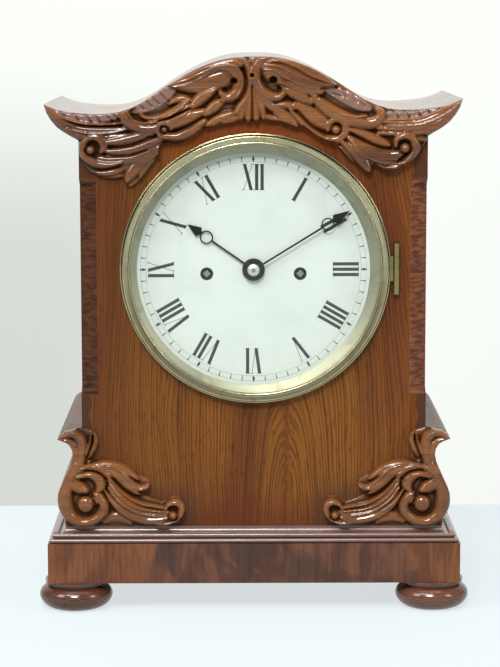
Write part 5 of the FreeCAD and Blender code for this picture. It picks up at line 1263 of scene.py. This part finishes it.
RIM, SIGHT, SEAT = 111.5, 102.9, 105.1
BEZEL_BACK = -97.05
bezel_profile = [
    (SEAT, 0), (RIM, 0), (RIM, -2.2), *arc((RIM - 0.85, -2.5), 0.85, 10, 170),
    (RIM - 1.9, -1.9), (RIM - 2.2, -4.6), *arc((RIM - 3.2, -7.9), 1.1, 0, 100),
    (SIGHT + 3.2, -8.75), (SIGHT + 1.75, -8.3), (SIGHT + 1.6, -7.5),
    *arc((SIGHT + 0.8, -7.9), 0.8, 10, 170), (SIGHT, -3), (SEAT, -3)]
turned_bezel = turned_piece("turned_bezel", bezel_profile,
                            (BEZEL_CENTRE[0], BEZEL_BACK, BEZEL_CENTRE[2]), "bezel_door",
                            bezel_brass, TURNED_PARTS)
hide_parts("bezel")
print("bezel profile:", len(bezel_profile), "places")

# %% [markdown]
# Each winding hole has a black lining of painted shade that narrows to the arbor, so the hole
# reads as a dark ring round the bright end of the winding square.

# %% Line the winding holes with painted shade
HOLES = {"right": (38.6, 279.6), "left": (-38.6, 279.6)}
# Painted shade: a black turned piece inside each hole, where a real hole is only dark with shade.
hole_shade = [(5.3, -0.02), (5.35, 0.9), (3.6, 6.0), (3.4, 6.0), (4.9, 0.5)]
for side, (x, z) in HOLES.items():
    turned_piece("winding_hole_shade_" + side, hole_shade, (x, DIAL_FACE, z), "case", black_paint_and_hole_shade,
                 HOLE_SHADE_PARTS)
print("winding holes lined:", len(HOLES))

# %% [markdown]
# ## Which piece wears which finish
#
# The record says what each piece is made of. Where one material is worn by pieces that were cut
# from different boards, the piece's own name decides. A wheel is brass on a steel arbor, in one
# piece of the frame, so its finish is steel within the arbor's radius of its own middle.

# %% Dress the frame
BY_SLOT = {
    "rosewood_veneer": side_veneer, "carved_rosewood": carved_wood, "back_wood": back_wood,
    "carcase_wood": carcase_wood, "bezel_brass": bezel_brass, "movement_brass": movement_brass,
    "steel": steel, "dark_steel": dark_steel, "silvered_brass": silver_ring,
    "dial_paint": dial_paint, "bell_metal": bell_metal, "clear_glass": glass,
    "gut_line": gut_line}
BY_NAME = {
    "front_panel": front_veneer, "plinth": plinth_veneer, "plinth_moulding": moulding_wood,
    "roof": roof_wood, "hand_collet": collet_silver}
BY_NAME |= {f"foot_{end}_{side}": foot_wood for end in ("front", "back") for side in HOLES}
BY_NAME |= {f"bezel_hinge_{part}_leaf": hinge_brass for part in ("case", "ring")}
ARBORS = {
    "going_fusee": 3.8, "striking_fusee": 3.8, "going_barrel": 3.0, "striking_barrel": 3.0,
    "centre_wheel": 4.0, "third_wheel": 4.0, "escape_wheel": 3.5, "pin_wheel": 4.0,
    "locking_wheel": 3.5, "fly": 3.0, "minute_wheel": 4.5}
WINDERS = {"going_fusee": HOLES["right"], "striking_fusee": HOLES["left"]}


def wheel_metal(name, node, arbor):
    """Brass with a steel arbor at the middle of the piece."""
    spots = np.array([v.co for v in node.data.vertices]) / MM
    middle = (spots.min(0) + spots.max(0)) / 2
    if name in WINDERS:
        middle[[0, 2]] = WINDERS[name]
    return metal(name + "_metal", BRASS, 0.06, BRASS_STAIN, 0.2, middle.tolist(), rough=0.24,
                 lines=1500, arbor=arbor * MM)


for name, node in nodes.items():
    if name in ARBORS:
        BY_NAME[name] = wheel_metal(name, node, ARBORS[name])
    slot = node.material_slots[0].material.name.split(".")[0]
    for place in node.material_slots:
        place.material = BY_NAME.get(name) or BY_SLOT[slot]
print("dressed", len(nodes), "pieces of the frame,", len(set(ARBORS) & set(nodes)), "wheels")

# %% [markdown]
# ## The room
#
# The clock stands near the back edge of a table with a pale cloth, some way in front of a pale
# wall. The light is soft: two windows high in front, weaker ones at both sides and the ceiling.

# %% Table and wall
TABLE_HALF, TABLE_FRONT, TABLE_BACK = 3, -4, 0.30
HEM = (TABLE_BACK + 0.02, -0.5)
WALL, WALL_HALF, WALL_FOOT, WALL_TOP = 3.4, 5, -2, 4


def paper(name, colour, light, glow, shaded=None):
    """A pale matt backdrop with some light of its own, so that no shadow on it turns dark."""
    made = Finish(name)
    soft = made.cloud(made.place, 2.5, 3)
    body = made.mix(soft * 0.2, colour, shade(colour, 0.93))
    if shaded:
        body = shaded(made, body)
    made.set(Base_Color=body, Roughness=0.85, Specular_IOR_Level=0.1, Emission_Color=light,
             Emission_Strength=glow)
    return made.material


def wall_shade(made, body):
    """The wall is darkest low at the left."""
    x, y, z = made.parts(made.place)
    low = z.between(0.45, -0.1) * x.between(0.1, -0.45)
    return made.mix(low * 0.8, body, tone(170, 176, 172))


def stage_sheet(name, half, rows, material):
    """A backdrop between rows of (depth, height), as wide to the left as to the right."""
    corners = [(side * half, y, z) for y, z in rows for side in (-1, 1)]
    mesh = bpy.data.meshes.new(name)
    mesh.from_pydata(corners, [], [(k, k + 1, k + 3, k + 2) for k in range(0, len(corners) - 2, 2)])
    sheet = bpy.data.objects.new(name, mesh)
    sheet.data.materials.append(material)
    bpy.context.collection.objects.link(sheet)


stage_sheet("table", TABLE_HALF, [(TABLE_FRONT, 0), (TABLE_BACK, 0), HEM],
            paper("table_cloth", tone(101, 109, 110), tone(246, 253, 255), 0.7))
stage_sheet("wall", WALL_HALF, [(WALL, WALL_FOOT), (WALL, WALL_TOP)],
            paper("wall_paint", tone(236, 238, 232), tone(236, 238, 232), 0.35, wall_shade))
print("table to", TABLE_BACK, "m behind the clock, wall at", WALL, "m")


# %% Lights
CLOCK_MIDDLE = (0, 0, 0.25)
WORLD_COLOUR, WORLD_LIGHT = (0.96, 0.98, 1, 1), 0.4


def soft_light(name, place, size, power, aim=CLOCK_MIDDLE, colour=(1, 1, 1)):
    """A rectangular light of a size in metres that looks at its aim."""
    data = bpy.data.lights.new(name, "AREA")
    data.shape = "RECTANGLE"
    data.size, data.size_y = size
    data.energy = power
    data.color = colour
    light = bpy.data.objects.new(name, data)
    light.location = place
    light.rotation_euler = (Vector(aim) - Vector(place)).to_track_quat("-Z", "Y").to_euler()
    bpy.context.collection.objects.link(light)


soft_light("window_left", (-1.9, -1.3, 1.9), (0.9, 1.2), 30, colour=(0.98, 0.99, 1))
soft_light("window_right", (1.9, -1.2, 1.3), (0.6, 1.0), 14)
soft_light("ceiling", (0, 0.0, 2.2), (1.6, 0.8), 12, (0, 0.05, 0))
soft_light("high_window", (-0.5, -1.4, 2.3), (1.5, 0.35), 26)
soft_light("front", (-0.3, -2.3, 2.1), (0.9, 0.5), 78)
world = bpy.data.worlds.new("room")
world.use_nodes = True
sky = world.node_tree.nodes["Background"].inputs
sky[0].default_value, sky[1].default_value = WORLD_COLOUR, WORLD_LIGHT
bpy.context.scene.world = world
bpy.context.scene.view_settings.view_transform = "Standard"
print("lights:", len(bpy.data.lights))
